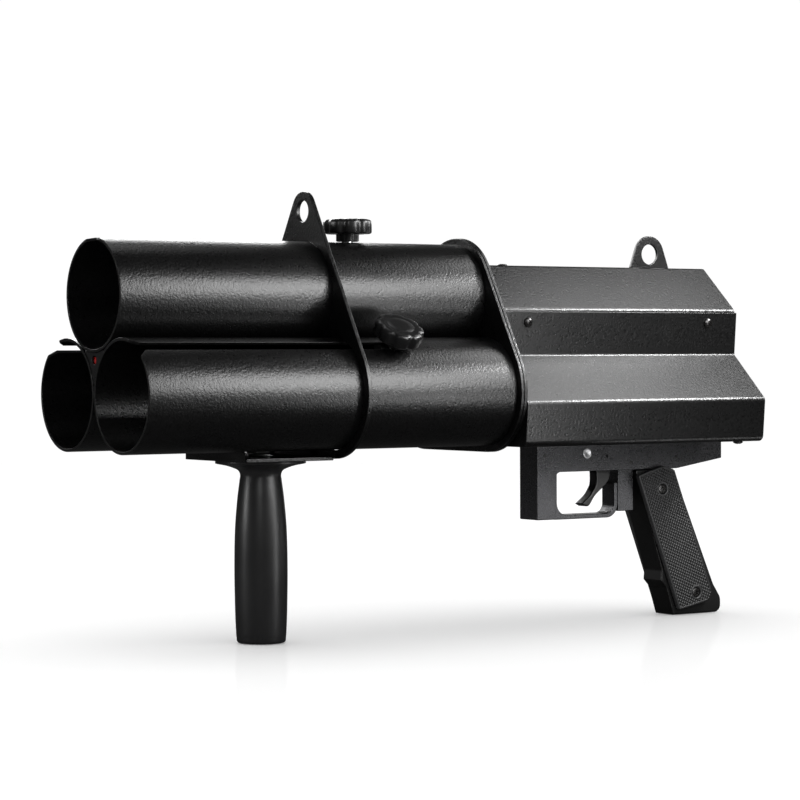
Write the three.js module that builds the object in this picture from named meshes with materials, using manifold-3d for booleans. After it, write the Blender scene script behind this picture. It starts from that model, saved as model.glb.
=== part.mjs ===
// Hand-held three-barrel confetti blower: three slotted launch tubes in a carrier plate,
// a bent-sheet body behind them, a side handle in front and a pistol grip with a trigger.
// Lengths are millimetres. X runs from the muzzles to the grip's heel, Z is up, and
// the pieces are laid out from the muzzle plane and the middle of the three tubes.
import * as THREE from "three";
import { mergeVertices } from "three/addons/utils/BufferGeometryUtils.js";
import Module from "manifold-3d";

const wasm = await Module();
wasm.setup();

// Fits shared by all pieces
const clearance = 0.3;
const cutOverrun = 1;
const weldDistance = 0.0001;
const settingOutStep = 0.001;

// Launch tubes and their clamp knobs
const barrelRadius = 38;
const barrelWall = 2;
const barrelGap = 0.6;
const barrelLength = 289.2;
const slotWidth = 9;
const slotLeadIn = 5;
const lowerSlotAngle = THREE.MathUtils.degToRad(31);
const knobPlace = 199;
const knobRadius = 17;
const knobLobes = 8;
const knobLobeDepth = 1.5;
const knobHeadHeight = 10.7;
const knobEdgeRound = 1.4;
const knobDome = 0.5;
const knobHubRadius = 8;
const knobHubRibDepth = 0.5;
const knobHubLength = 5.4;
const knobLift = 0.5;
const clampStudRadius = 4;
const clampStudGrip = 6;
const clampNutLength = 20;
const clampNutWidth = 16;
const clampNutThickness = 5;
const clampPadRadius = 7;
const clampPadThickness = 2.6;
const clampPadTravel = 2.7;

// Breech sockets that the cartridges plug on to
const socketLength = 18;
const socketCupRadius = 28;
const socketCupDepth = 12;
const contactRadius = 2;
const contactLength = 8;
const contactSpacing = 14;

// Muzzle web and the pointer behind it
const webFront = 0.5;
const webThickness = 3;
const webReach = 14.5;
const pointerSeat = 0.425;
const pointerRadius = 4.6;
const pointerLength = 54;
const pointerAperture = 3;
const lensThickness = 2;

// Plates that hold the tubes
const carrierPlace = 162;
const carrierThickness = 3;
const carrierMargin = 6.2;
const carrierEyeLift = 20.8;
const carrierEyeRadius = 13.6;
const eyeHoleRadius = 7.5;
const breechThickness = 2.5;
const breechMargin = 4.5;
const plateCuspRelief = 2.2;

// Sheet-metal body
const bodyLength = 217;
const sheet = 2;
const bendRadius = 3;
const wallTopHalf = 48.5;
const wallTopHeight = 34.1;
const wallFootHalf = 46.1;
const wallFootHeight = 3.2;
const skirtTopHalf = 80.6;
const skirtTopHeight = -29.2;
const skirtFootHalf = 78;
const bodyBottom = -60.5;
const coverSheet = 1.5;
const roofHalf = 10.7;
const roofHeight = 67.8;
const coverBendHeight = 36;
const coverFlange = 18;
const rearRecess = 1;
const rearThickness = 2;
const rearFlangeLength = 26;
const rearFlangeInset = 3;
const roofEyeInset = 44.5;
const roofEyeLift = 10.5;
const roofEyeRadius = 13.6;
const roofEyeFoot = 36;
const roofEyeFootRound = 0.5;
const roofEyeThickness = 2.5;

// Housing screws
const coverScrewFrontInset = 24.3;
const coverScrewRearInset = 27.6;
const coverScrewHeight = 26.5;
const screwHeadRadius = 3.6;
const screwHeadHeight = 2.2;
const screwShankRadius = 1.7;
const screwShankLength = 7;
const roofScrewInset = 12.9;
const roofScrewSpacing = 24;
const roofScrewHeadHeight = 1.2;
const roofScrewShankLength = 6;
const baseScrewInset = 14;
const baseScrewHalf = 66;
const baseScrewHeadHeight = 2;

// What the body holds
const batteryInset = 22.9;
const batteryLength = 78;
const batteryCellRadius = 14.5;
const batteryCells = 4;
const batteryShell = 1.5;
const boardInset = 30.1;
const boardLength = 70;
const boardWidth = 60;
const boardThickness = 1.6;
const boardLegHeight = 8;
const boardLegRadius = 3;
const relayLength = 19;
const relayWidth = 15;
const relayHeight = 16;

// Front handle and its bracket
const bracketLength = 70;
const bracketDrop = 4.7;
const bracketSheet = 2.5;
const bracketHalf = 40;
const bracketWallHeight = 7;
const bracketFlangeHalf = 14;
const bracketFlangeHeight = 16;
const handleInset = 36;
const handleFlangeRadius = 31;
const handleFlangeRim = 1.9;
const handleNeckRadius = 14;
const handleBellyRadius = 18.25;
const handleFootRound = 3.5;
const handleFlareHeight = 8;
const handleStudRadius = 5;
const handleStudGrip = 42;
const handleStudStandOut = 12;
const handleNutFlat = 17;
const handleNutHeight = 8;
const handleNutTurn = THREE.MathUtils.degToRad(-20);
const washerRadius = 11.5;
const washerThickness = 1.5;
const footDepth = 192;

// Trigger frame, guard and trigger
const frameInset = 59.9;
const frameHalf = 10.75;
const frameHeight = 21.2;
const frontBlockLength = 17;
const frontBlockDrop = 34.5;
const windowLength = 60;
const rearBlockLength = 14.5;
const rearBlockDrop = 30.5;
const tailStraight = 39.5;
const taperLength = 43.4;
const taperRise = 6.8;
const guardHalf = 7.4;
const guardThickness = 3.2;
const guardDrop = 34.9;
const guardRearLegDrop = 10.6;
const guardFrontCorner = 9;
const guardRearCorner = 10;
const pocketHalf = 5;
const pocketInset = 36;
const pocketLength = 37.2;
const pocketRoof = 2.2;
const pocketBase = 2.8;
const pivotInset = 11.4;
const pivotLift = 10.7;
const pinRadius = 1.5;
const pinClearance = 0.08;
const triggerHalf = 4.5;
const triggerHubRadius = 5;
const triggerPushDrop = 5.2;
const bladeOffset = 5.4;
const bladeWidth = 14;
const bladeDrop = 26.6;
const springWire = 0.8;
const springRadius = 3.1;
const springPitch = 1;
const springCoils = 3;
const springRoom = 4.6;
const springSeatRadius = 8.4;
const switchLength = 13;
const switchHeight = 9;
const switchHalf = 4.6;
const plungerRadius = 1.4;
const plungerReach = 2.2;
const plungerDepth = 5;
const safetyOffset = 18.7;
const safetyLift = 13.1;
const safetyRadius = 4;
const safetyTravel = 3;
const safetyProud = 0.5;
const safetyEdge = 0.5;

// Pistol grip
const gripShoulderDrop = 3;
const gripToeReach = 35.2;
const gripDepth = 35.6;
const gripWaistReach = 74.5;
const gripWaistHeight = 21.6;
const gripHeelReach = 81.6;
const gripHeelHeight = 11;
const gripHeelRound = 8;
const gripWaistRound = 12;
const humpProud = 3.2;
const humpTopShare = 0.683;
const humpCrestShare = 0.755;
const humpFootShare = 0.803;
const panelThickness = 4;
const panelFrontProud = 1.4;
const panelFootSetBack = 2.6;
const panelDepthTop = 34.9;
const panelDepthFoot = 34.3;
const panelPeakRise = 2.7;
const panelPeakInset = 24.6;
const panelFrontDrop = 7;
const panelBackDrop = 3.7;
const panelLift = 3.7;
const panelSlant = 6.9;
const panelCorner = 4;
const panelEdgeRound = 1;
const gripScrewShares = [[0.538, 0.124], [0.586, 0.915]];
const gripScrewHeadRadius = 3.4;
const gripScrewHeadHeight = 2;
const gripScrewSink = 2.6;
const gripScrewLength = 9;

// Facets of the round forms
const barrelFacets = 48;
const handleFacets = 30;
const roundFacets = 20;
const screwFacets = 12;
const knobFacetsPerLobe = 5;
const bendFacets = 3;
const handleBellyFacets = 7;
const handleFlareFacets = 4;
const bladeFrontFacets = 9;
const bladeRearFacets = 12;
const springFacetsPerCoil = 8;
const springWireFacets = 5;
const springStepShare = 1.3;
const nutSides = 6;

// Places worked out from the sizes above
const barrelPitch = 2 * barrelRadius + barrelGap;
const topBarrelHeight = barrelPitch / Math.sqrt(3);
const lowerBarrelHeight = -topBarrelHeight / 2;
const lowerBarrelHalf = barrelPitch / 2;
const barrelBore = barrelRadius - barrelWall;
const barrelHole = barrelRadius + clearance;
const barrelCentres = [
  [0, topBarrelHeight],
  [-lowerBarrelHalf, lowerBarrelHeight],
  [lowerBarrelHalf, lowerBarrelHeight],
];
const breechPlace = barrelLength + clearance;
const frontPlatePlace = breechPlace + breechThickness + clearance;
const bodyStart = frontPlatePlace + breechThickness + clearance;
const bodyEnd = bodyStart + bodyLength;
const pointerRoom = topBarrelHeight - barrelRadius - pointerRadius - pointerSeat;
const pointerLift = Math.round(pointerRoom / settingOutStep) * settingOutStep;
const carrierEyeHeight = topBarrelHeight + barrelRadius + carrierEyeLift;
const coverScrewPlaces = { front: bodyStart + coverScrewFrontInset, rear: bodyEnd - coverScrewRearInset };
const roofScrewPlaces = [bodyStart + roofScrewInset, bodyStart + roofScrewInset + roofScrewSpacing];
const roofEyePlace = bodyEnd - roofEyeInset;
const roofEyeHeight = roofHeight + roofEyeLift;
const batteryStart = bodyStart + batteryInset;
const boardStart = bodyEnd - boardInset - boardLength;
const bracketEnd = carrierPlace - clearance;
const bracketStart = bracketEnd - bracketLength;
const bracketTop = lowerBarrelHeight - barrelRadius - bracketDrop;
const bracketBottom = bracketTop - bracketSheet;
const handlePlace = bracketStart + handleInset;
const handleTop = bracketBottom - clearance;
const frameFront = bodyStart + frameInset;
const frameTop = bodyBottom - clearance;
const frameUnder = frameTop - frameHeight;
const windowFront = frameFront + frontBlockLength;
const windowRear = windowFront + windowLength;
const rearBlockEnd = windowRear + rearBlockLength;
const taperStart = rearBlockEnd + tailStraight;
const tailEnd = taperStart + taperLength;
const pocketFront = windowFront + pocketInset;
const pocketRear = pocketFront + pocketLength;
const pocketTop = frameTop - pocketRoof;
const pocketFloor = frameUnder + pocketBase;
const pivotPlace = pocketFront + pivotInset;
const pivotHeight = frameUnder + pivotLift;
const triggerPushHeight = pivotHeight - triggerPushDrop;
const bladeFront = pivotPlace - bladeOffset;
const safetyPlace = pivotPlace - safetyOffset;
const safetyHeight = frameUnder + safetyLift;
const gripTop = frameUnder - clearance;
const gripShoulder = gripTop - gripShoulderDrop;
const gripFrontTop = rearBlockEnd + clearance;
const gripToe = gripFrontTop + gripToeReach;
const gripBackTop = gripFrontTop + gripDepth;

// Materials
function finish(color, roughness, metalness) {
  return new THREE.MeshStandardMaterial({ color, roughness, metalness });
}
const powderCoat = finish(0x1a1b1d, 0.6, 0.2);
const mouldedBlack = finish(0x17181a, 0.7, 0);
const gripRubber = finish(0x141416, 0.85, 0);
const blackScrew = finish(0x222326, 0.35, 0.8);
const zincSteel = finish(0x9a9da2, 0.4, 0.9);
const aluminium = finish(0xb4b6b8, 0.35, 0.9);
const lensRed = finish(0x5a0d0d, 0.15, 0);
const boardGreen = finish(0x1e5a34, 0.6, 0);
const batteryWrap = finish(0x2a4a7a, 0.5, 0.1);

// Turns a closed geometry into a solid; faces are turned to point out
function solid(geometry) {
  const bare = new THREE.BufferGeometry();
  bare.setAttribute("position", geometry.getAttribute("position"));
  bare.setIndex(geometry.index);
  const merged = mergeVertices(bare, weldDistance);
  const spots = merged.getAttribute("position");
  const corners = [0, 1, 2].map(() => new THREE.Vector3());
  const faces = [];
  let volume = 0;
  for (let i = 0; i < merged.index.count; i += 3) {
    const [a, b, c] = [0, 1, 2].map((step) => merged.index.getX(i + step));
    if (a === b || b === c || c === a) continue;
    [a, b, c].forEach((vertex, step) => corners[step].fromBufferAttribute(spots, vertex));
    volume += corners[0].dot(corners[1].clone().cross(corners[2]));
    faces.push([a, b, c]);
  }
  const triVerts = Uint32Array.from(faces.flatMap((face) => (volume < 0 ? face.reverse() : face)));
  const vertProperties = Float32Array.from(spots.array);
  return new wasm.Manifold(new wasm.Mesh({ numProp: 3, vertProperties, triVerts }));
}

function geometryOf(body) {
  const mesh = body.getMesh();
  const geometry = new THREE.BufferGeometry();
  geometry.setAttribute("position", new THREE.BufferAttribute(mesh.vertProperties, 3));
  geometry.setIndex(new THREE.BufferAttribute(mesh.triVerts, 1));
  return geometry;
}

function addPiece(parent, name, body, material) {
  const mesh = new THREE.Mesh(geometryOf(body), material);
  mesh.name = name;
  parent.add(mesh);
  return mesh;
}

// Outline helpers: a path is an array of Vector2
function vector(x, y) {
  return new THREE.Vector2(x, y);
}

function circle(x, y, radius, facets, firstTurn = 0) {
  const path = [];
  for (let i = 0; i < facets; i += 1) {
    const turn = firstTurn + (2 * Math.PI * i) / facets;
    path.push(vector(x + radius * Math.cos(turn), y + radius * Math.sin(turn)));
  }
  return path;
}

function outline(path, holes = []) {
  const shape = new THREE.Shape(path);
  shape.holes = holes.map((hole) => new THREE.Path(hole));
  return shape;
}

// Rounds the corners of a path: radii holds one radius for each point
function rounded(path, radii, closed) {
  const result = [];
  path.forEach((point, i) => {
    const before = path[(i + path.length - 1) % path.length];
    const after = path[(i + 1) % path.length];
    const end = !closed && (i === 0 || i === path.length - 1);
    if (end || radii[i] === 0) {
      result.push(point.clone());
      return;
    }
    const back = before.clone().sub(point);
    const on = after.clone().sub(point);
    const half = Math.acos(back.dot(on) / back.length() / on.length()) / 2;
    const room = Math.min(back.length(), on.length()) / 2;
    const reach = Math.min(radii[i] / Math.tan(half), room);
    const radius = reach * Math.tan(half);
    const start = point.clone().add(back.setLength(reach));
    const finishPoint = point.clone().add(on.setLength(reach));
    const middle = start.clone().add(finishPoint).multiplyScalar(1 / 2).sub(point);
    const centre = point.clone().add(middle.setLength(Math.hypot(reach, radius)));
    const from = start.clone().sub(centre).angle();
    let sweep = finishPoint.clone().sub(centre).angle() - from;
    if (sweep > Math.PI) sweep -= 2 * Math.PI;
    if (sweep < -Math.PI) sweep += 2 * Math.PI;
    for (let step = 0; step <= bendFacets; step += 1) {
      const angle = from + (sweep * step) / bendFacets;
      result.push(vector(centre.x + radius * Math.cos(angle), centre.y + radius * Math.sin(angle)));
    }
  });
  return result;
}

// Moves a path sideways, to the left of its own direction for a positive distance
function shifted(path, distance, closed) {
  return path.map((point, i) => {
    const hasBefore = closed || i > 0;
    const hasAfter = closed || i < path.length - 1;
    const before = path[(i + path.length - 1) % path.length];
    const after = path[(i + 1) % path.length];
    const arriving = hasBefore ? point.clone().sub(before).normalize() : after.clone().sub(point).normalize();
    const leaving = hasAfter ? after.clone().sub(point).normalize() : arriving.clone();
    const side = vector(-arriving.y - leaving.y, arriving.x + leaving.x).normalize();
    const stretch = side.dot(vector(-arriving.y, arriving.x));
    return point.clone().add(side.multiplyScalar(distance / stretch));
  });
}

// Strip of bent sheet: the path is one face, the other face lies to its left
function bentStrip(path, thickness, innerBend) {
  const turns = path.map((point, i) => {
    if (i === 0 || i === path.length - 1) return 0;
    const arriving = point.clone().sub(path[i - 1]);
    const leaving = path[i + 1].clone().sub(point);
    return Math.sign(arriving.cross(leaving));
  });
  const near = rounded(path, turns.map((turn) => innerBend + (turn > 0 ? thickness : 0)), false);
  const farRadii = turns.map((turn) => innerBend + (turn < 0 ? thickness : 0));
  const far = rounded(shifted(path, thickness, false), farRadii, false);
  return [...near, ...far.reverse()];
}

// Outline of a belt pulled round circles [x, y, radius] given anticlockwise
function belt(circles, facetsPerArc) {
  const normals = circles.map(([x, y, radius], i) => {
    const [nextX, nextY, nextRadius] = circles[(i + 1) % circles.length];
    const heading = Math.atan2(nextY - y, nextX - x);
    return heading - Math.acos((radius - nextRadius) / Math.hypot(nextX - x, nextY - y));
  });
  return circles.flatMap(([x, y, radius], i) => {
    const from = normals[(i + circles.length - 1) % circles.length];
    let sweep = (normals[i] - from) % (2 * Math.PI);
    if (sweep < 0) sweep += 2 * Math.PI;
    return Array.from({ length: facetsPerArc + 1 }, (_, step) => {
      const angle = from + (sweep * step) / facetsPerArc;
      return vector(x + radius * Math.cos(angle), y + radius * Math.sin(angle));
    });
  });
}

// Extrusions: across X takes an outline in (y, z), across Y in (x, z), across Z in (x, y)
const axisX = new THREE.Vector3(1, 0, 0);
const axisY = new THREE.Vector3(0, 1, 0);
const axisZ = new THREE.Vector3(0, 0, 1);

function extrusion(shape, depth) {
  return new THREE.ExtrudeGeometry(shape, { depth, bevelEnabled: false, steps: 1 });
}

function acrossX(shape, from, to) {
  const geometry = extrusion(shape, to - from);
  geometry.applyMatrix4(new THREE.Matrix4().makeBasis(axisY, axisZ, axisX));
  return solid(geometry.translate(from, 0, 0));
}

function acrossY(shape, from, to) {
  const geometry = extrusion(shape, to - from);
  geometry.applyMatrix4(new THREE.Matrix4().makeBasis(axisX, axisZ, axisY.clone().negate()));
  return solid(geometry.translate(0, to, 0));
}

function acrossZ(shape, from, to) {
  return solid(extrusion(shape, to - from).translate(0, 0, from));
}

function box(x, y, z) {
  const geometry = new THREE.BoxGeometry(x[1] - x[0], y[1] - y[0], z[1] - z[0]);
  return solid(geometry.translate((x[0] + x[1]) / 2, (y[0] + y[1]) / 2, (z[0] + z[1]) / 2));
}

// Round forms about a vertical axis; the profile lists [radius, height] from the axis to the axis
function turned(profile, facets) {
  const geometry = new THREE.LatheGeometry(profile.map(([radius, height]) => vector(radius, height)), facets);
  return solid(geometry.rotateX(Math.PI / 2));
}

// Closed skin over a stack of rings that all have the same number of points
function ringStack(rings) {
  const count = rings[0].length;
  const points = rings.flat();
  const faces = [];
  for (let level = 0; level + 1 < rings.length; level += 1) {
    for (let i = 0; i < count; i += 1) {
      const next = (i + 1) % count;
      const [a, b] = [level * count + i, level * count + next];
      const [c, d] = [a + count, b + count];
      faces.push(a, b, d, a, d, c);
    }
  }
  const first = points.length;
  const lids = [rings[0], rings[rings.length - 1]];
  lids.forEach((ring) => {
    const middle = new THREE.Vector3();
    ring.forEach((point) => middle.add(point));
    points.push(middle.divideScalar(count));
  });
  const lastRing = (rings.length - 1) * count;
  for (let i = 0; i < count; i += 1) {
    const next = (i + 1) % count;
    faces.push(first, next, i);
    faces.push(first + 1, lastRing + i, lastRing + next);
  }
  const geometry = new THREE.BufferGeometry().setFromPoints(points);
  geometry.setIndex(faces);
  return solid(geometry);
}

// Pan-head screw standing along Z with its head's seat at zero and its shank below
function panScrew(headRadius, headHeight, shankRadius, shankLength) {
  const crown = headHeight / 2;
  return turned([
    [0, -shankLength],
    [shankRadius, -shankLength],
    [shankRadius, 0],
    [headRadius, 0],
    [headRadius, headHeight - crown],
    [headRadius / 2, headHeight],
    [0, headHeight],
  ], screwFacets);
}

// Launch tube: a rolled tube along X with a lead-in slot along its local top
function barrelSolid() {
  const wall = outline(circle(0, 0, barrelRadius, barrelFacets), [circle(0, 0, barrelBore, barrelFacets)]);
  const half = slotWidth / 2;
  const mouth = half + slotLeadIn;
  const roundEnd = circle(knobPlace, 0, half, roundFacets).filter((point) => point.x > knobPlace);
  roundEnd.sort((a, b) => a.y - b.y);
  const slot = outline([
    vector(-cutOverrun, -mouth),
    vector(0, -mouth),
    vector(slotLeadIn, -half),
    vector(knobPlace, -half),
    ...roundEnd,
    vector(knobPlace, half),
    vector(slotLeadIn, half),
    vector(0, mouth),
    vector(-cutOverrun, mouth),
  ]);
  const cutter = acrossZ(slot, barrelBore / 2, barrelRadius + cutOverrun);
  return acrossX(wall, 0, barrelLength).subtract(cutter);
}

// Clamp knob: lobed head on a ribbed hub, moulded in one and bored for its stud
function knobSolid() {
  const count = knobLobes * knobFacetsPerLobe;
  const base = barrelRadius + knobLift;
  const headBase = base + knobHubLength;
  const headTop = headBase + knobHeadHeight;
  const ring = (radius, depth, height) => Array.from({ length: count }, (_, i) => {
    const turn = (2 * Math.PI * i) / count;
    const valley = Math.abs(Math.cos((knobLobes * turn) / 2)) ** 6;
    const reach = radius - depth * valley;
    return new THREE.Vector3(reach * Math.cos(turn), reach * Math.sin(turn), height);
  });
  const body = ringStack([
    ring(knobHubRadius, knobHubRibDepth, base),
    ring(knobHubRadius, knobHubRibDepth, headBase),
    ring(knobRadius - knobEdgeRound / 2, knobLobeDepth, headBase),
    ring(knobRadius, knobLobeDepth, headBase + knobEdgeRound / 2),
    ring(knobRadius, knobLobeDepth, headTop - knobDome - knobEdgeRound),
    ring(knobRadius - knobEdgeRound, knobLobeDepth, headTop - knobDome),
    ring(knobRadius / 2, 0, headTop),
  ]);
  const boreRadius = clampStudRadius + clearance;
  const boreTop = headBase + clampStudGrip + clearance;
  const bore = circle(0, 0, boreRadius, roundFacets);
  return body.subtract(acrossZ(outline(bore), base - cutOverrun, boreTop));
}

function rodAcrossX(y, z, radius, from, to, facets) {
  return acrossX(outline(circle(y, z, radius, facets)), from, to);
}

function rodAcrossY(x, z, radius, from, to, facets) {
  return acrossY(outline(circle(x, z, radius, facets)), from, to);
}

function rodAcrossZ(x, y, radius, from, to, facets) {
  return acrossZ(outline(circle(x, y, radius, facets)), from, to);
}

// Slot nut that lies against the tube's bore and takes the clamp stud
function clampNutSolid() {
  const top = barrelBore - clearance;
  const block = box(
    [knobPlace - clampNutLength / 2, knobPlace + clampNutLength / 2],
    [-clampNutWidth / 2, clampNutWidth / 2],
    [top - clampNutThickness, barrelRadius],
  );
  const bore = rodAcrossX(0, 0, top, knobPlace - clampNutLength, knobPlace + clampNutLength, barrelFacets);
  const thread = rodAcrossZ(knobPlace, 0, clampStudRadius + clearance, 0, barrelRadius, roundFacets);
  return block.intersect(bore).subtract(thread);
}

// Breech socket: a cup with two contact pins that a cartridge plugs on to
function socketSolid() {
  const start = barrelLength - socketLength;
  const cup = rodAcrossX(0, 0, barrelBore - clearance, start, barrelLength, barrelFacets);
  const floor = start + socketCupDepth;
  const hollow = rodAcrossX(0, 0, socketCupRadius, start - cutOverrun, floor, barrelFacets);
  return [-1, 1].reduce((body, side) => {
    const y = (side * contactSpacing) / 2;
    return body.add(rodAcrossX(y, 0, contactRadius, floor - contactLength, floor + cutOverrun, screwFacets));
  }, cup.subtract(hollow));
}

// Everything that belongs to one tube, in a group turned so that its slot faces the right way
function addBarrel(parent, place, centre, slotTurn) {
  const station = new THREE.Group();
  station.position.set(0, centre[0], centre[1]);
  station.rotation.x = slotTurn;
  parent.add(station);
  const base = barrelRadius + knobLift;
  const padTop = barrelBore - clearance - clampNutThickness - clampPadTravel;
  const studTop = base + knobHubLength + clampStudGrip;
  addPiece(station, `barrel_${place}`, barrelSolid(), powderCoat);
  addPiece(station, `clamp_nut_${place}`, clampNutSolid(), zincSteel);
  addPiece(station, `breech_socket_${place}`, socketSolid(), mouldedBlack);
  const knob = addPiece(station, `knob_${place}`, knobSolid(), mouldedBlack);
  knob.position.x = knobPlace;
  const stud = rodAcrossZ(0, 0, clampStudRadius, padTop + clearance, studTop, roundFacets);
  addPiece(station, `knob_stud_${place}`, stud, zincSteel).position.x = knobPlace;
  const pad = rodAcrossZ(0, 0, clampPadRadius, padTop - clampPadThickness, padTop, roundFacets);
  addPiece(station, `clamp_pad_${place}`, pad, mouldedBlack).position.x = knobPlace;
}

// Concave triangle that fills the gap between the three mouths
function webSolid() {
  const end = webFront + webThickness;
  const blank = rodAcrossX(0, 0, webReach, webFront, end, roundFacets);
  const around = barrelCentres.reduce((body, [y, z]) => (
    body.subtract(rodAcrossX(y, z, barrelHole, webFront - cutOverrun, end + cutOverrun, barrelFacets))
  ), blank);
  const bore = rodAcrossX(0, pointerLift, pointerAperture, webFront - cutOverrun, end + cutOverrun, roundFacets);
  return around.subtract(bore);
}

function addMuzzle(parent) {
  const end = webFront + webThickness;
  const lensRadius = pointerAperture - clearance;
  const pointerStart = end + clearance;
  addPiece(parent, "muzzle_web", webSolid(), powderCoat);
  const lens = rodAcrossX(0, pointerLift, lensRadius, end - lensThickness, end, roundFacets);
  addPiece(parent, "laser_lens", lens, lensRed);
  const pointer = rodAcrossX(0, pointerLift, pointerRadius, pointerStart, pointerStart + pointerLength, roundFacets);
  addPiece(parent, "laser_module", pointer, aluminium);
}

// Triple opening of a plate: the three tubes, with the thin cusps between them opened out
function throughBarrels(body, from, to) {
  const start = from - cutOverrun;
  const end = to + cutOverrun;
  const middle = lowerBarrelHalf / Math.sqrt(3) + plateCuspRelief;
  const opened = body.subtract(rodAcrossX(0, 0, middle, start, end, barrelFacets));
  return barrelCentres.reduce((plate, [y, z]) => (
    plate.subtract(rodAcrossX(y, z, barrelHole, start, end, barrelFacets))
  ), opened);
}

function lowerCircles(margin) {
  const radius = barrelRadius + margin;
  return [
    [-lowerBarrelHalf, lowerBarrelHeight, radius],
    [lowerBarrelHalf, lowerBarrelHeight, radius],
  ];
}

// Carrier plate: holds the tubes half way along and rises to a hanging eye
function carrierSolid() {
  const end = carrierPlace + carrierThickness;
  const path = belt([...lowerCircles(carrierMargin), [0, carrierEyeHeight, carrierEyeRadius]], roundFacets / 2);
  const eye = circle(0, carrierEyeHeight, eyeHoleRadius, roundFacets);
  return throughBarrels(acrossX(outline(path, [eye]), carrierPlace, end), carrierPlace, end);
}

function breechOutline() {
  const radius = barrelRadius + breechMargin;
  return outline(belt([...lowerCircles(breechMargin), [0, topBarrelHeight, radius]], roundFacets));
}

// Body profile: half of it is listed from the wall's top down to the bottom's middle
function mirrored(half) {
  const left = half.map(([y, z]) => vector(-y, z));
  const right = half.map(([y, z]) => vector(y, z)).reverse();
  return [...left, ...right];
}

function chassisPath() {
  return mirrored([
    [wallTopHalf, wallTopHeight],
    [wallFootHalf, wallFootHeight],
    [skirtTopHalf, skirtTopHeight],
    [skirtFootHalf, bodyBottom],
  ]);
}

// Y of the upper wall's inner face, less what lies against it, at a height
function insideWall(height, gap) {
  const share = (height - wallFootHeight) / (wallTopHeight - wallFootHeight);
  return wallFootHalf + (wallTopHalf - wallFootHalf) * share - sheet - gap;
}

function coverPath() {
  return mirrored([
    [insideWall(coverBendHeight - coverFlange, clearance), coverBendHeight - coverFlange],
    [insideWall(coverBendHeight, clearance), coverBendHeight],
    [roofHalf, roofHeight],
  ]);
}

// Screw holes through a wall, made by rods along Y at the cover screws' places
function coverScrewHoles(body) {
  return Object.values(coverScrewPlaces).reduce((part, x) => part.subtract(
    rodAcrossY(x, coverScrewHeight, screwShankRadius + 2 * clearance, -skirtTopHalf, skirtTopHalf, screwFacets),
  ), body);
}

function baseScrewHoles(body) {
  const x = bodyEnd - baseScrewInset;
  return [-1, 1].reduce((part, side) => part.subtract(
    rodAcrossZ(x, side * baseScrewHalf, screwShankRadius + clearance, bodyBottom - cutOverrun,
      bodyBottom + 2 * screwShankLength, screwFacets),
  ), body);
}

// Chassis: bent sheet open at the top, with a welded front wall
function chassisSolid() {
  const path = chassisPath();
  const skin = acrossX(outline(bentStrip(path, sheet, bendRadius - sheet)), bodyStart, bodyEnd);
  const front = acrossX(outline(shifted(path, sheet / 2, true)), bodyStart, bodyStart + sheet);
  return baseScrewHoles(coverScrewHoles(skin.add(front)));
}

// Roof cover: bent sheet whose flanges hang inside the chassis walls
function coverSolid() {
  const path = coverPath().reverse();
  const skin = acrossX(outline(bentStrip(path, coverSheet, bendRadius - sheet)), bodyStart, bodyEnd);
  const flangeEnd = bodyStart + sheet + clearance;
  const relief = box(
    [bodyStart - cutOverrun, flangeEnd],
    [-skirtTopHalf, skirtTopHalf],
    [bodyBottom, wallTopHeight + sheet / 2],
  );
  const drilled = roofScrewPlaces.reduce((part, x) => part.subtract(
    rodAcrossZ(x, 0, screwShankRadius + clearance, wallTopHeight, roofHeight + cutOverrun, screwFacets),
  ), skin.subtract(relief));
  return coverScrewHoles(drilled);
}

// Rear cover: a plate set into the shell's end, with a flange along the floor
function rearSolid() {
  const inset = sheet + clearance;
  const lower = shifted(chassisPath(), inset, false).slice(1, -1);
  const cover = shifted(coverPath().reverse(), coverSheet + clearance, false).reverse();
  const edge = [...cover.slice(0, 1), ...lower, ...cover.slice(-1)];
  const upper = cover.slice(1, -1).reverse();
  const end = bodyEnd - rearRecess;
  const start = end - rearThickness;
  const corners = [...edge, ...upper];
  const bends = corners.map(() => bendRadius - sheet / 2);
  const plate = acrossX(outline(rounded(corners, bends, true)), start, end);
  const floor = bodyBottom + inset;
  const half = skirtFootHalf - inset - rearFlangeInset;
  const flange = box([end - rearFlangeLength, end - rearThickness / 2], [-half, half], [floor, floor + rearThickness]);
  return baseScrewHoles(plate.add(flange));
}

function roofEyeSolid() {
  const foot = roofHeight + clearance;
  const heel = roofEyeFoot / 2;
  const crown = belt([
    [roofEyePlace - heel + roofEyeFootRound, foot + roofEyeFootRound, roofEyeFootRound],
    [roofEyePlace + heel - roofEyeFootRound, foot + roofEyeFootRound, roofEyeFootRound],
    [roofEyePlace, roofEyeHeight, roofEyeRadius],
  ], roundFacets / 2);
  const hole = circle(roofEyePlace, roofEyeHeight, eyeHoleRadius, roundFacets);
  return acrossY(outline(crown, [hole]), -roofEyeThickness / 2, roofEyeThickness / 2);
}

function addBody(parent) {
  addPiece(parent, "carrier_plate", carrierSolid(), powderCoat);
  const breechEnd = breechPlace + breechThickness;
  addPiece(parent, "breech_plate", acrossX(breechOutline(), breechPlace, breechEnd), powderCoat);
  const plateEnd = frontPlatePlace + breechThickness;
  addPiece(parent, "body_front_plate", acrossX(breechOutline(), frontPlatePlace, plateEnd), powderCoat);
  addPiece(parent, "chassis", chassisSolid(), powderCoat);
  addPiece(parent, "roof_cover", coverSolid(), powderCoat);
  addPiece(parent, "rear_cover", rearSolid(), powderCoat);
  addPiece(parent, "roof_hanging_eye", roofEyeSolid(), powderCoat);
}

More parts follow.
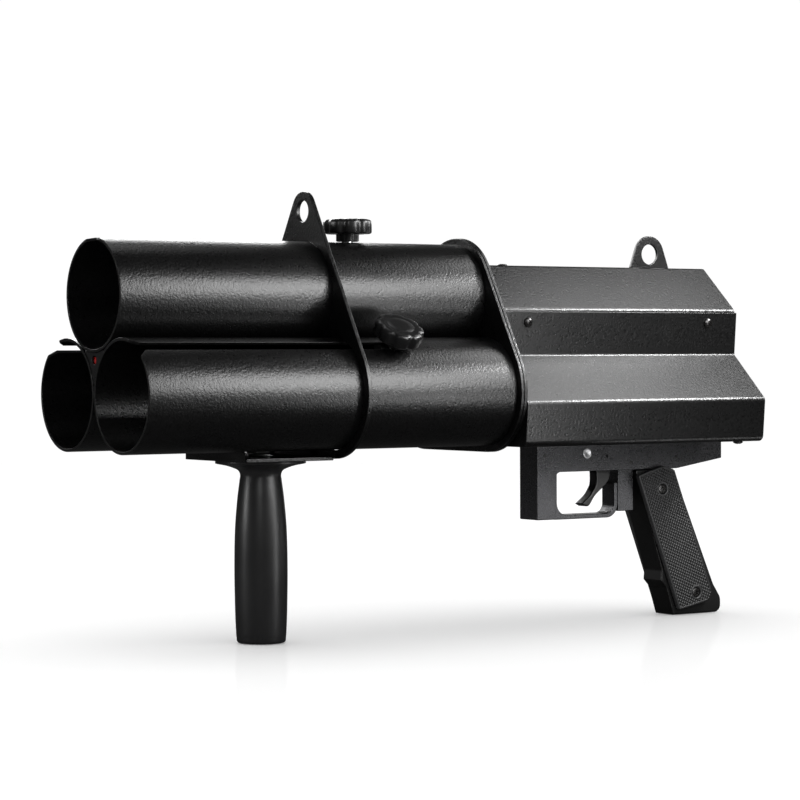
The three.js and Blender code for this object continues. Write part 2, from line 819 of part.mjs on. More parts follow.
function addHousingScrews(parent) {
  const lean = Math.atan2(wallTopHalf - wallFootHalf, wallTopHeight - wallFootHeight);
  const wallHalf = insideWall(coverScrewHeight, 0) + sheet;
  Object.entries(coverScrewPlaces).forEach(([end, x]) => {
    [["left", -1], ["right", 1]].forEach(([name, side]) => {
      const screw = panScrew(screwHeadRadius, screwHeadHeight, screwShankRadius, screwShankLength);
      const mesh = addPiece(parent, `cover_screw_${name}_${end}`, screw, blackScrew);
      mesh.position.set(x, side * (wallHalf + clearance), coverScrewHeight);
      mesh.rotation.x = -side * (Math.PI / 2 + lean);
    });
  });
  roofScrewPlaces.forEach((x, i) => {
    const screw = panScrew(screwHeadRadius, roofScrewHeadHeight, screwShankRadius, roofScrewShankLength);
    const mesh = addPiece(parent, `roof_screw_${i === 0 ? "front" : "rear"}`, screw, blackScrew);
    mesh.position.set(x, 0, roofHeight + clearance);
  });
  [["left", -1], ["right", 1]].forEach(([name, side]) => {
    const screw = panScrew(screwHeadRadius, baseScrewHeadHeight, screwShankRadius, screwShankLength);
    const mesh = addPiece(parent, `base_screw_${name}`, screw, blackScrew);
    mesh.position.set(bodyEnd - baseScrewInset, side * baseScrewHalf, bodyBottom - clearance);
    mesh.rotation.x = Math.PI;
  });
}

// Battery pack: a shrink-wrapped row of cells lying on the chassis floor
function batterySolid() {
  const floor = bodyBottom + sheet + clearance;
  const radius = batteryCellRadius + batteryShell;
  const span = 2 * batteryCellRadius * (batteryCells - 1);
  const cells = Array.from({ length: batteryCells }, (_, i) => (
    rodAcrossX(i * 2 * batteryCellRadius - span / 2, floor + radius, radius, batteryStart,
      batteryStart + batteryLength, roundFacets)
  ));
  return cells.reduce((pack, cell) => pack.add(cell));
}

// Control board on its four legs, with the firing relay on top
function boardSolid() {
  const floor = bodyBottom + sheet + clearance;
  const top = floor + boardLegHeight + boardThickness;
  const board = box([boardStart, boardStart + boardLength], [-boardWidth / 2, boardWidth / 2],
    [floor + boardLegHeight, top]);
  const inset = 2 * boardLegRadius;
  const middle = boardStart + boardLength / 2;
  const relay = box([middle - relayLength / 2, middle + relayLength / 2], [-relayWidth / 2, relayWidth / 2],
    [top - boardThickness / 2, top + relayHeight]);
  return [boardStart + inset, boardStart + boardLength - inset].reduce((body, x) => (
    [-1, 1].reduce((part, side) => part.add(rodAcrossZ(x, side * (boardWidth / 2 - inset), boardLegRadius,
      floor, top - boardThickness / 2, screwFacets)), body)
  ), board.add(relay));
}

// Handle bracket: plate under the tubes, with a low front wall and a rear flange
function bracketSolid() {
  const plate = box([bracketStart, bracketEnd], [-bracketHalf, bracketHalf], [bracketBottom, bracketTop]);
  const wall = box([bracketStart, bracketStart + bracketSheet], [-bracketHalf, bracketHalf],
    [bracketBottom, bracketTop + bracketWallHeight]);
  const flange = box([bracketEnd - bracketSheet, bracketEnd], [-bracketFlangeHalf, bracketFlangeHalf],
    [bracketBottom, bracketTop + bracketFlangeHeight]);
  const whole = barrelCentres.slice(1).reduce((body, [y, z]) => (
    body.subtract(rodAcrossX(y, z, barrelHole, 0, barrelLength, barrelFacets))
  ), plate.add(wall).add(flange));
  const hole = rodAcrossZ(handlePlace, 0, handleStudRadius + clearance, bracketBottom - cutOverrun,
    bracketTop + cutOverrun, roundFacets);
  return whole.subtract(hole);
}

// Front handle: a moulded grip turned about the stud's axis, with a wide flange on top
const handleBellyShares = [
  [0.88, 0.21], [0.97, 0.38], [1, 0.6], [0.975, 0.83], [0.945, 0.955],
];

function handleSolid() {
  const bottom = -footDepth;
  const length = handleTop - bottom;
  const at = (share) => handleTop - length * share;
  const neckHeight = handleTop - handleFlangeRim - handleFlareHeight;
  const curve = new THREE.SplineCurve([
    vector(handleNeckRadius, neckHeight),
    ...handleBellyShares.map(([radiusShare, heightShare]) => vector(handleBellyRadius * radiusShare, at(heightShare))),
  ]);
  const belly = curve.getPoints(handleBellyFacets).map((point) => [point.x, point.y]);
  const footRadius = belly[belly.length - 1][0] - clearance;
  const flare = Array.from({ length: handleFlareFacets }, (_, i) => {
    const share = i / handleFlareFacets;
    const radius = handleNeckRadius + (handleFlangeRadius - handleNeckRadius) * (1 - share) ** 3;
    const height = handleTop - handleFlangeRim - handleFlareHeight * share ** 1.2;
    return [radius, height];
  });
  const boreRadius = handleStudRadius + clearance;
  const boreEnd = handleTop - handleStudGrip - clearance;
  return turned([
    [0, bottom],
    [footRadius - handleFootRound, bottom],
    [footRadius - handleFootRound / 3, bottom + handleFootRound / 3],
    [footRadius, bottom + handleFootRound],
    ...belly.reverse(),
    ...flare.reverse(),
    [handleFlangeRadius, handleTop],
    [boreRadius, handleTop],
    [boreRadius, boreEnd],
    [0, boreEnd],
  ], handleFacets);
}

function addFrontHandle(parent) {
  addPiece(parent, "handle_bracket", bracketSolid(), powderCoat);
  const fittings = new THREE.Group();
  fittings.position.x = handlePlace;
  parent.add(fittings);
  addPiece(fittings, "side_handle", handleSolid(), mouldedBlack);
  const studTop = bracketTop + handleStudStandOut;
  const stud = rodAcrossZ(0, 0, handleStudRadius, handleTop - handleStudGrip, studTop, roundFacets);
  addPiece(fittings, "handle_stud", stud, zincSteel);
  const bore = circle(0, 0, handleStudRadius + clearance, roundFacets);
  const washerBase = bracketTop + clearance;
  const nutBase = washerBase + washerThickness + clearance;
  const washer = acrossZ(outline(circle(0, 0, washerRadius, roundFacets), [bore]), washerBase,
    washerBase + washerThickness);
  addPiece(fittings, "handle_washer", washer, zincSteel);
  const flats = circle(0, 0, handleNutFlat / Math.sqrt(3), nutSides, handleNutTurn);
  const nut = acrossZ(outline(flats, [bore]), nutBase, nutBase + handleNutHeight);
  addPiece(fittings, "handle_nut", nut, zincSteel);
}

// Trigger frame: a milled bar with the trigger pocket, the pin holes and a block at each end of
// the finger window; the rear block is as narrow as the guard
function frameSolid() {
  const frontBlockBottom = frameUnder - frontBlockDrop;
  const side = outline([
    vector(frameFront, frameTop),
    vector(frameFront, frontBlockBottom),
    vector(windowFront, frontBlockBottom),
    vector(windowFront, frameUnder),
    vector(taperStart, frameUnder),
    vector(tailEnd, frameUnder + taperRise),
    vector(tailEnd, frameTop),
  ]);
  const bar = acrossY(side, -frameHalf, frameHalf);
  const rearBlock = box([windowRear, rearBlockEnd], [-guardHalf, guardHalf],
    [frameUnder - rearBlockDrop, frameUnder + pocketBase / 2]);
  const room = box([pocketFront, pocketRear], [-pocketHalf, pocketHalf], [pocketFloor, pocketTop]);
  const mouth = box([pocketFront, windowRear - 2 * clearance], [-pocketHalf, pocketHalf],
    [frameUnder - cutOverrun, pocketFloor + cutOverrun]);
  const through = frameHalf + cutOverrun;
  const pinHole = rodAcrossY(pivotPlace, pivotHeight, pinRadius + pinClearance, -through, through, roundFacets);
  const safetyHole = rodAcrossY(safetyPlace, safetyHeight, safetyRadius + clearance, -through, through, roundFacets);
  return [room, mouth, pinHole, safetyHole].reduce((body, cut) => body.subtract(cut), bar.add(rearBlock));
}

// Trigger guard: a bent strap that runs from under the bar round to the rear block
function guardSolid() {
  const front = windowFront + clearance;
  const rear = windowRear - clearance;
  const bottom = frameUnder - guardDrop;
  const rearLegTop = frameUnder - guardRearLegDrop;
  const path = [
    vector(front, gripTop),
    vector(front, bottom),
    vector(rear, bottom),
    vector(rear, rearLegTop),
  ];
  const outer = rounded(path, [0, guardThickness / 2, guardRearCorner, 0], false);
  const inside = shifted(path, guardThickness, false);
  const inner = rounded(inside, [0, guardFrontCorner, guardRearCorner - guardThickness, 0], false);
  const strap = acrossY(outline([...outer, ...inner.reverse()]), -guardHalf, guardHalf);
  const half = guardThickness / 2;
  return strap.add(rodAcrossY(rear - half, rearLegTop, half, -guardHalf, guardHalf, screwFacets));
}

// Trigger: curved blade below the frame, round hub on the pin inside it
const bladeFrontShares = [[0, 0], [0, 0.35], [-0.15, 0.52], [-0.42, 0.7], [-0.97, 0.917]];
const bladeRearShares = [
  [-0.736, 0.98], [-0.45, 0.965], [-0.086, 0.718], [0.293, 0.549], [0.679, 0.395], [0.93, 0.2], [0.93, 0],
];

function triggerSolid() {
  const place = ([x, z]) => vector(bladeFront + bladeWidth * x, frameUnder - bladeDrop * z);
  const front = new THREE.SplineCurve(bladeFrontShares.map(place)).getPoints(bladeFrontFacets);
  const rear = new THREE.SplineCurve(bladeRearShares.map(place)).getPoints(bladeRearFacets);
  const hubHalf = triggerHubRadius;
  const blade = outline([
    vector(pivotPlace - hubHalf, pivotHeight),
    ...front,
    ...rear,
    vector(pivotPlace + hubHalf, triggerPushHeight),
    vector(pivotPlace + hubHalf, pivotHeight),
  ]);
  const hub = rodAcrossY(pivotPlace, pivotHeight, hubHalf, -triggerHalf, triggerHalf, roundFacets);
  const body = acrossY(blade, -triggerHalf, triggerHalf).add(hub);
  const bore = rodAcrossY(pivotPlace, pivotHeight, pinRadius + pinClearance, -frameHalf, frameHalf, roundFacets);
  const springSeat = rodAcrossY(pivotPlace, pivotHeight, springSeatRadius, triggerHalf - springRoom, frameHalf,
    roundFacets);
  const seat = springSeat.subtract(box([pivotPlace, pivotPlace + frameHalf * 2], [-frameHalf, frameHalf],
    [pivotHeight - frameHalf, pivotHeight - springRadius - springWire - clearance]));
  return body.subtract(bore).subtract(seat);
}

// Return spring: a round wire wound about the pin, one leg on the trigger and one to the ceiling
function springSolid() {
  const total = springCoils * springFacetsPerCoil;
  const start = triggerHalf - springWire / 2 - springCoils * springPitch;
  const coil = Array.from({ length: total + 1 }, (_, i) => {
    const turn = (2 * Math.PI * i) / springFacetsPerCoil;
    const y = start + (springPitch * i) / springFacetsPerCoil;
    return new THREE.Vector3(springRadius * Math.cos(turn), y, springRadius * Math.sin(turn));
  });
  const legFoot = -springRadius - springWire;
  const legTop = pocketTop - pivotHeight - springRadius / 4;
  const first = coil[0];
  const last = coil[total];
  const points = [
    new THREE.Vector3(first.x, first.y, legFoot),
    new THREE.Vector3(first.x, first.y, legFoot / 2),
    ...coil,
    new THREE.Vector3(last.x, last.y, legTop / 2),
    new THREE.Vector3(last.x, last.y, legTop),
  ];
  const wire = circle(0, 0, springWire / 2, springWireFacets);
  const route = new THREE.CatmullRomCurve3(points);
  const steps = Math.round(points.length * springStepShare);
  return solid(new THREE.ExtrudeGeometry(outline(wire), { extrudePath: route, steps }));
}

function addTriggerGroup(parent) {
  addPiece(parent, "trigger_frame", frameSolid(), powderCoat);
  addPiece(parent, "trigger_guard", guardSolid(), powderCoat);
  addPiece(parent, "trigger", triggerSolid(), powderCoat);
  const pin = rodAcrossY(pivotPlace, pivotHeight, pinRadius, -frameHalf, frameHalf, roundFacets);
  addPiece(parent, "trigger_pin", pin, zincSteel);
  addPiece(parent, "trigger_spring", springSolid(), zincSteel).position.set(pivotPlace, 0, pivotHeight);
  const safetyStart = -frameHalf - safetyProud;
  const button = turned([
    [0, 0],
    [safetyRadius - safetyEdge, 0],
    [safetyRadius, safetyEdge],
    [safetyRadius, 2 * frameHalf + safetyProud + safetyTravel - safetyEdge],
    [safetyRadius - safetyEdge, 2 * frameHalf + safetyProud + safetyTravel],
    [0, 2 * frameHalf + safetyProud + safetyTravel],
  ], roundFacets);
  const safety = addPiece(parent, "safety_button", button, aluminium);
  safety.position.set(safetyPlace, safetyStart, safetyHeight);
  safety.rotation.x = -Math.PI / 2;
}

// Firing switch behind the trigger, and the plunger that the trigger pushes
function addSwitch(parent) {
  const start = pocketRear - clearance - switchLength;
  const base = pocketFloor + clearance;
  const height = triggerPushHeight + plungerRadius + clearance;
  const body = box([start, pocketRear - clearance], [-switchHalf, switchHalf], [base, base + switchHeight]);
  const bore = rodAcrossX(0, height, plungerRadius + clearance, start - cutOverrun, start + plungerDepth, screwFacets);
  addPiece(parent, "fire_switch", body.subtract(bore), mouldedBlack);
  const tip = pivotPlace + triggerHubRadius + clearance;
  const back = start + plungerDepth - plungerReach;
  addPiece(parent, "fire_switch_plunger", rodAcrossX(0, height, plungerRadius, tip, back, screwFacets), mouldedBlack);
}

// Grip core: leans back, with a small ledge on the front strap for the little finger
function gripCoreSolid() {
  const strap = (share, proud) => vector(
    gripFrontTop + gripToeReach * share - proud,
    gripShoulder - (gripShoulder + footDepth) * share,
  );
  const heel = gripFrontTop + gripHeelReach;
  const path = [
    vector(gripFrontTop, gripTop),
    strap(0, 0),
    strap(humpTopShare, 0),
    strap(humpCrestShare, humpProud),
    strap(humpFootShare, 0),
    vector(gripToe, -footDepth),
    vector(heel, -footDepth),
    vector(heel, gripHeelHeight - footDepth),
    vector(gripFrontTop + gripWaistReach, gripWaistHeight - footDepth),
    vector(gripBackTop, gripTop),
  ];
  const radii = [0, 0, panelCorner, panelEdgeRound, panelEdgeRound, 0, gripHeelRound, gripHeelRound, gripWaistRound, 0];
  const block = acrossY(outline(rounded(path, radii, true)), -frameHalf, frameHalf);
  return gripHoles(block, -frameHalf - cutOverrun, frameHalf + cutOverrun, screwShankRadius + clearance);
}

// Corners of a grip panel: front top, front foot, back foot, back top
function panelCorners() {
  const peak = frameUnder + panelPeakRise;
  const foot = panelLift - footDepth;
  return [
    vector(gripFrontTop - panelFrontProud, peak - panelFrontDrop),
    vector(gripToe + panelFootSetBack, foot),
    vector(gripToe + panelFootSetBack + panelDepthFoot, foot + panelSlant),
    vector(gripFrontTop - panelFrontProud + panelDepthTop, peak - panelBackDrop),
  ];
}

// Places of the panel screws, from their shares of the panel's depth and of its height
function gripScrewPlaces() {
  const [frontTop, frontFoot, backFoot, backTop] = panelCorners();
  return gripScrewShares.map(([depthShare, heightShare]) => {
    const front = frontTop.clone().lerp(frontFoot, heightShare);
    return front.lerp(backTop.clone().lerp(backFoot, heightShare), depthShare);
  });
}

function gripHoles(body, from, to, radius) {
  return gripScrewPlaces().reduce((part, place) => part.subtract(
    rodAcrossY(place.x, place.y, radius, from, to, screwFacets),
  ), body);
}

// Grip panel: a plate with an arched top, a slanted foot and sunk screw holes
function gripPanelSolid() {
  const corners = panelCorners();
  const peak = vector(corners[0].x + panelPeakInset, frameUnder + panelPeakRise);
  const small = panelCorner / 2;
  const radii = [small, small, gripHeelRound, small, 2 * gripHeelRound];
  const base = rounded([...corners, peak], radii, true);
  const ring = (points, y) => points.map((point) => new THREE.Vector3(point.x, y, point.y));
  const plate = ringStack([
    ring(base, 0),
    ring(base, panelEdgeRound - panelThickness),
    ring(shifted(base, panelEdgeRound, true), -panelThickness),
  ]);
  const drilled = gripHoles(plate, -2 * panelThickness, cutOverrun, screwShankRadius + clearance);
  return gripHoles(drilled, -2 * panelThickness, gripScrewSink - panelThickness, gripScrewHeadRadius + clearance);
}

function addGrip(parent) {
  addPiece(parent, "grip_core", gripCoreSolid(), mouldedBlack);
  const face = frameHalf + clearance;
  [["left", -1], ["right", 1]].forEach(([name, side]) => {
    const panel = gripPanelSolid();
    const body = side < 0 ? panel : panel.mirror([0, 1, 0]);
    addPiece(parent, `grip_panel_${name}`, body, gripRubber).position.y = side * face;
    gripScrewPlaces().forEach((place, i) => {
      const screw = panScrew(gripScrewHeadRadius, gripScrewHeadHeight, screwShankRadius, gripScrewLength);
      const mesh = addPiece(parent, `grip_screw_${name}_${i === 0 ? "upper" : "lower"}`, screw, blackScrew);
      const seat = face + panelThickness - gripScrewSink + clearance;
      mesh.position.set(place.x, side * seat, place.y);
      mesh.rotation.x = (-side * Math.PI) / 2;
    });
  });
}

// Whole blower: the origin lies under the middle of the box that holds it
const blower = new THREE.Group();
const layout = new THREE.Group();
layout.position.set(-tailEnd / 2, 0, footDepth);
blower.add(layout);

addBarrel(layout, "top", barrelCentres[0], 0);
addBarrel(layout, "left", barrelCentres[1], lowerSlotAngle);
addBarrel(layout, "right", barrelCentres[2], -lowerSlotAngle);
addMuzzle(layout);
addBody(layout);
addHousingScrews(layout);
addPiece(layout, "battery_pack", batterySolid(), batteryWrap);
addPiece(layout, "control_board", boardSolid(), boardGreen);
addFrontHandle(layout);
addTriggerGroup(layout);
addSwitch(layout);
addGrip(layout);

export default blower;
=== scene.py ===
# %% [markdown]
# # A three-tube confetti blower
# The object is a hand-held stage launcher: three slotted tubes, a carrier plate half way
# along them, a body folded from sheet, a turned handle in front and a pistol grip behind.
# The CAD model is the frame of this lesson. It fixes every size and every joint, and the
# pieces made here take the places of its faceted solids with smooth, rounded surfaces.

# %% Load the frame
import math
from functools import partial

import bmesh
import bpy
import numpy as np
from mathutils import Matrix, Vector
from mathutils.geometry import tessellate_polygon


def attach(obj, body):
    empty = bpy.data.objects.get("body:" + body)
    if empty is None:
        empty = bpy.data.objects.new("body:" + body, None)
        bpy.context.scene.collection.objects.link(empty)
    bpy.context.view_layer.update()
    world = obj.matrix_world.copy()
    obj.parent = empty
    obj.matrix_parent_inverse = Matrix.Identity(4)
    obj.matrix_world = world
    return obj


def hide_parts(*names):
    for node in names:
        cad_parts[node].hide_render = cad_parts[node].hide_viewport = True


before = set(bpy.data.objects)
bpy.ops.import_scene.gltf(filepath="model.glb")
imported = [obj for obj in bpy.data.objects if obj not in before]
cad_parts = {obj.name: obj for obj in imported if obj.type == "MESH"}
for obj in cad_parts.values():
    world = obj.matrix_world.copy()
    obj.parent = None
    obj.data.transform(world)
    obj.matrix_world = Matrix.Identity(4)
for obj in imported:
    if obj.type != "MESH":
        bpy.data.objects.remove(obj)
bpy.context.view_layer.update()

# %% [markdown]
# ## One layout in millimetres
# The drawing of the blower starts at the muzzles and at the middle of the three tubes, so
# that is where its numbers are easy to read. The frame's origin lies on the floor under
# the middle of the box, in metres. One function carries whole arrays from one to the other,
# so no object is ever moved: its place is in its mesh.

# %% Layout to frame
tail_end = 529.4
foot_depth = 192.0
clearance = 0.3
# A face that would lie in another one's plane is put this far inside it
inset = 0.02


def placed(points):
    """Layout millimetres to frame metres: X less half the length, Z plus the feet's depth."""
    shift = np.array([-tail_end / 2, 0.0, foot_depth])
    return (np.asarray(points, float) + shift) / 1000.0


# %% [markdown]
# ## Outlines
# Sheet and plate parts are drawn as flat outlines first. Three small functions do what a
# draughtsman does: put an arc on a corner, move a line sideways by a thickness, and pull a
# belt round circles. Each works on all points at once.

# %% Outline helpers
def distinct(path, closed):
    """Leaves out each point that lies on the one before it."""
    path = np.asarray(path, float)
    step = np.linalg.norm(path - np.roll(path, 1, 0), axis=1)
    if not closed:
        step[0] = 1
    return path[step > 1e-6]


def arc_points(angle, x=0.0, y=0.0, radius=1.0):
    """Points on a circle: centre plus radius times (cos, sin)."""
    return np.stack([x + radius * np.cos(angle), y + radius * np.sin(angle)], -1)


def filleted(corners, radii, closed=True, steps=8):
    """Each corner becomes an arc tangent to both sides.

    With half the corner's angle a, the arc starts radius / tan(a) before the corner, and
    its centre lies on the bisector at radius / sin(a).
    """
    corner = np.asarray(corners, float)
    before = np.roll(corner, 1, 0) - corner
    after = np.roll(corner, -1, 0) - corner
    room = np.minimum(np.linalg.norm(before, axis=1), np.linalg.norm(after, axis=1)) * 0.499
    before /= np.linalg.norm(before, axis=1, keepdims=True)
    after /= np.linalg.norm(after, axis=1, keepdims=True)
    half = np.arccos(np.clip((before * after).sum(1), -1, 1)) / 2
    reach = np.minimum(np.broadcast_to(radii, len(corner)) / np.tan(half), room)
    radius = reach * np.tan(half)
    bisector = before + after
    bisector /= np.maximum(np.linalg.norm(bisector, axis=1, keepdims=True), 1e-9)
    centre = corner + bisector * (radius / np.sin(half))[:, None]
    first = corner + before * reach[:, None] - centre
    last = corner + after * reach[:, None] - centre
    start = np.arctan2(first[:, 1], first[:, 0])
    sweep = np.arctan2(last[:, 1], last[:, 0]) - start
    sweep = (sweep + np.pi) % (2 * np.pi) - np.pi
    angle = start[:, None] + sweep[:, None] * np.linspace(0, 1, steps + 1)
    arc = centre[:, None] + radius[:, None, None] * arc_points(angle)
    if closed:
        return distinct(arc.reshape(-1, 2), True)
    inner = arc[1:-1].reshape(-1, 2)
    return distinct(np.concatenate([corner[:1], inner, corner[-1:]]), False)


def moved_sideways(path, distance, closed=True):
    """Every point goes to its left by the distance, along the mean of its two sides' normals."""
    path = np.asarray(path, float)
    ahead = np.roll(path, -1, 0) - path
    if not closed:
        ahead[-1] = ahead[-2]
    ahead /= np.linalg.norm(ahead, axis=1, keepdims=True)
    behind = np.roll(ahead, 1, 0)
    if not closed:
        behind[0] = ahead[0]
    normal = np.stack([-ahead[:, 1] - behind[:, 1], ahead[:, 0] + behind[:, 0]], -1)
    normal /= np.linalg.norm(normal, axis=1, keepdims=True)
    stretch = -normal[:, 0] * ahead[:, 1] + normal[:, 1] * ahead[:, 0]
    return path + normal * (distance / stretch)[:, None]


def full_turn(count):
    return np.arange(count) * 2 * np.pi / count


def circle_path(x, y, radius, count):
    return arc_points(full_turn(count), x, y, radius)


def belt_path(circles, steps=24):
    """A belt round circles (x, y, radius), anticlockwise.

    The straight run to the next circle leaves at the heading less the angle whose cosine
    is the difference of the radii over the distance.
    """
    ring = np.asarray(circles, float)
    to_next = np.roll(ring, -1, 0) - ring
    heading = np.arctan2(to_next[:, 1], to_next[:, 0])
    leave = heading - np.arccos(-to_next[:, 2] / np.hypot(to_next[:, 0], to_next[:, 1]))
    arrive = np.roll(leave, 1)
    sweep = (leave - arrive) % (2 * np.pi)
    angle = arrive[:, None] + sweep[:, None] * np.linspace(0, 1, steps + 1)
    arc = ring[:, None, :2] + ring[:, None, 2:] * arc_points(angle)
    return distinct(arc.reshape(-1, 2), True)


# %% [markdown]
# ## From arrays to meshes
# A grid of points is a surface: rows one way, columns the other. The next helpers turn a
# grid into quads, lay flat polygons over rings, and put the result into a mesh whose
# doubled points are merged, so that seams and poles close. Weighted normals keep the big
# flats flat and let only the small rounded edges catch the light.

# %% Mesh helpers
def grid_faces(rows, columns):
    """Quads (i, j), (i, j + 1), (i + 1, j + 1), (i + 1, j), and the last column meets the first."""
    i, j = np.meshgrid(np.arange(rows - 1), np.arange(columns), indexing="ij")
    here, beside = i * columns + j, i * columns + (j + 1) % columns
    return np.stack([here, beside, beside + columns, here + columns], -1).reshape(-1, 4)


def end_caps(rows, columns):
    """Strips that close the first and the last row, from its first half across to its second."""
    i = np.arange(columns // 2 - 1)
    front = np.stack([i, i + 1, columns - 2 - i, columns - 1 - i], -1)
    return np.concatenate([front, front[:, ::-1] + (rows - 1) * columns])


made = {}


def weigh_normals(piece):
    piece.modifiers.new("weighted normals", "WEIGHTED_NORMAL").weight = 100


def add_piece(name, points, faces, finish, node=None, body="frame", slot=None, edge=None, sharp=30):
    """One closed mesh from layout points and faces, riding on a CAD body.

    Points within two micrometres are merged and the faces are turned outwards. A bevel
    rounds its sharp edges where an edge width in millimetres is given.
    """
    mesh = bpy.data.meshes.new(name)
    mesh.from_pydata(placed(points).tolist(), [], [list(map(int, face)) for face in faces])
    work = bmesh.new()
    work.from_mesh(mesh)
    bmesh.ops.remove_doubles(work, verts=work.verts, dist=2e-6)
    bmesh.ops.dissolve_degenerate(work, edges=work.edges, dist=1e-7)
    bmesh.ops.recalc_face_normals(work, faces=work.faces)
    work.to_mesh(mesh)
    work.free()
    mesh.shade_smooth()
    piece = bpy.data.objects.new(name, mesh)
    bpy.context.scene.collection.objects.link(piece)
    if edge:
        bevel = piece.modifiers.new("rounded edges", "BEVEL")
        bevel.width = edge / 1000
        bevel.segments = 2
        bevel.limit_method = "ANGLE"
        bevel.angle_limit = math.radians(sharp)
        bevel.use_clamp_overlap = True
        weigh_normals(piece)
    else:
        mesh.set_sharp_from_angle(angle=math.radians(sharp))
    mesh.materials.append(finish)
    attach(piece, body)
    if node:
        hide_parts(node)
    made[name] = piece
    return piece


def laid(flat, level, axis):
    """An outline's two coordinates, with the level put in as the one for the axis."""
    return np.insert(flat, axis, float(level), axis=1)


along_x, along_y, along_z = (partial(laid, axis=axis) for axis in range(3))


def signed_area(path):
    """Half the sum of x times the next y less y times the next x: positive if anticlockwise."""
    ahead = np.roll(path, -1, 0)
    return (path[:, 0] * ahead[:, 1] - path[:, 1] * ahead[:, 0]).sum() / 2


def plate_mesh(outlines, across, low, high, round_edge, steps=3):
    """A plate between two levels with all its edges rounded.

    Each outline is swept round a quarter circle at both levels: at turn t it moves
    inwards by r (1 - cos t) and the level moves by r sin t. The first outline is the
    rim and the others are holes. The two flats are filled between the last rings.
    """
    turn = np.linspace(0, np.pi / 2, steps + 1)
    inward = round_edge * (1 - np.cos(turn))
    rise = round_edge * np.sin(turn)
    levels = np.concatenate([low + round_edge - rise[::-1], high - round_edge + rise])
    insets = np.concatenate([inward[::-1], inward])
    points, faces, offset = [], [], 0
    lids = [[], []]
    for place, outline in enumerate(outlines):
        path = distinct(outline, True)
        if (signed_area(path) > 0) != (place == 0):
            path = path[::-1]
        rings = [moved_sideways(path, distance) for distance in insets]
        points.extend(across(ring, level) for ring, level in zip(rings, levels))
        faces.extend(grid_faces(len(levels), len(path)) + offset)
        last = offset + (len(levels) - 1) * len(path)
        lids[0].append((rings[0], offset))
        lids[1].append((rings[-1], last))
        offset += len(levels) * len(path)
    for lid in lids:
        index = np.concatenate([np.arange(len(ring)) + start for ring, start in lid])
        filled = tessellate_polygon([[Vector((*point, 0)) for point in ring] for ring, _ in lid])
        faces.extend(index[list(face)] for face in filled)
    return np.concatenate(points), faces


def add_plate(name, outlines, across, low, high, finish, round_edge, node=None, **facts):
    """A plate whose rounded edges are swept, with weighted normals to keep its faces flat."""
    points, faces = plate_mesh(outlines, across, low, high, round_edge)
    weigh_normals(add_piece(name, points, faces, finish, node, sharp=60, **facts))


def carried_round(radius, height, angle):
    """Radii and heights, by row, carried round Z: (r cos a, r sin a, h), with quads between."""
    height = height * np.ones_like(angle)
    grid = np.stack([radius * np.cos(angle), radius * np.sin(angle), height], -1)
    return grid.reshape(-1, 3), grid_faces(len(grid), len(angle))


def turned_mesh(profile, count):
    """A profile of (radius, height) carried round Z."""
    profile = np.asarray(profile, float)
    return carried_round(profile[:, :1], profile[:, 1:], full_turn(count))


def stood(points, axis, origin):
    """Turns points built about +Z so that +Z points along the axis, then moves them."""
    axis = Vector(axis).normalized()
    turn = np.array(Vector((0, 0, 1)).rotation_difference(axis).to_matrix())
    return np.asarray(points) @ turn.T + np.asarray(origin, float)


def add_turned(name, profile, axis, origin, finish, count, node=None, **facts):
    """A turned piece with its axis where the CAD has it."""
    points, faces = turned_mesh(profile, count)
    return add_piece(name, stood(points, axis, origin), faces, finish, node, **facts)


def rounded_profile(corners, radii, steps=4):
    """An open profile from the axis to the axis, with arcs on its corners."""
    return filleted(corners, radii, closed=False, steps=steps)


def rod_profile(radius, low, high, low_edge, high_edge):
    """A plain rod's profile, with an arc at each end."""
    corners = [(0, low), (radius, low), (radius, high), (0, high)]
    return rounded_profile(corners, [0, low_edge, high_edge, 0])


# %% [markdown]
# ## Writing shaders as sums
# A node tree is hard to read, and a formula isn't. `Wire` wraps one output, and each
# Python operator on it adds the Math node that does the same. `Finish.node` adds any other
# node from its type, what goes into its sockets, the output that is wanted and its settings.

# %% Shader helpers
def math_node(operation, swapped=False):
    """A method that adds the Math node for one Python operator."""
    def method(wire, *others):
        values = (*others, wire) if swapped else (wire, *others)
        return wire.finish.node("Math", dict(enumerate(values)), operation=operation)
    return method


class Wire:
    """A node's output that can be used in sums."""

    def __init__(self, finish, socket):
        self.finish = finish
        self.socket = socket

    __add__ = __radd__ = math_node("ADD")
    __mul__ = __rmul__ = math_node("MULTIPLY")
    __sub__ = math_node("SUBTRACT")
    __rsub__ = math_node("SUBTRACT", swapped=True)
    __gt__ = math_node("GREATER_THAN")
    __pow__ = math_node("POWER")
    __abs__ = math_node("ABSOLUTE")


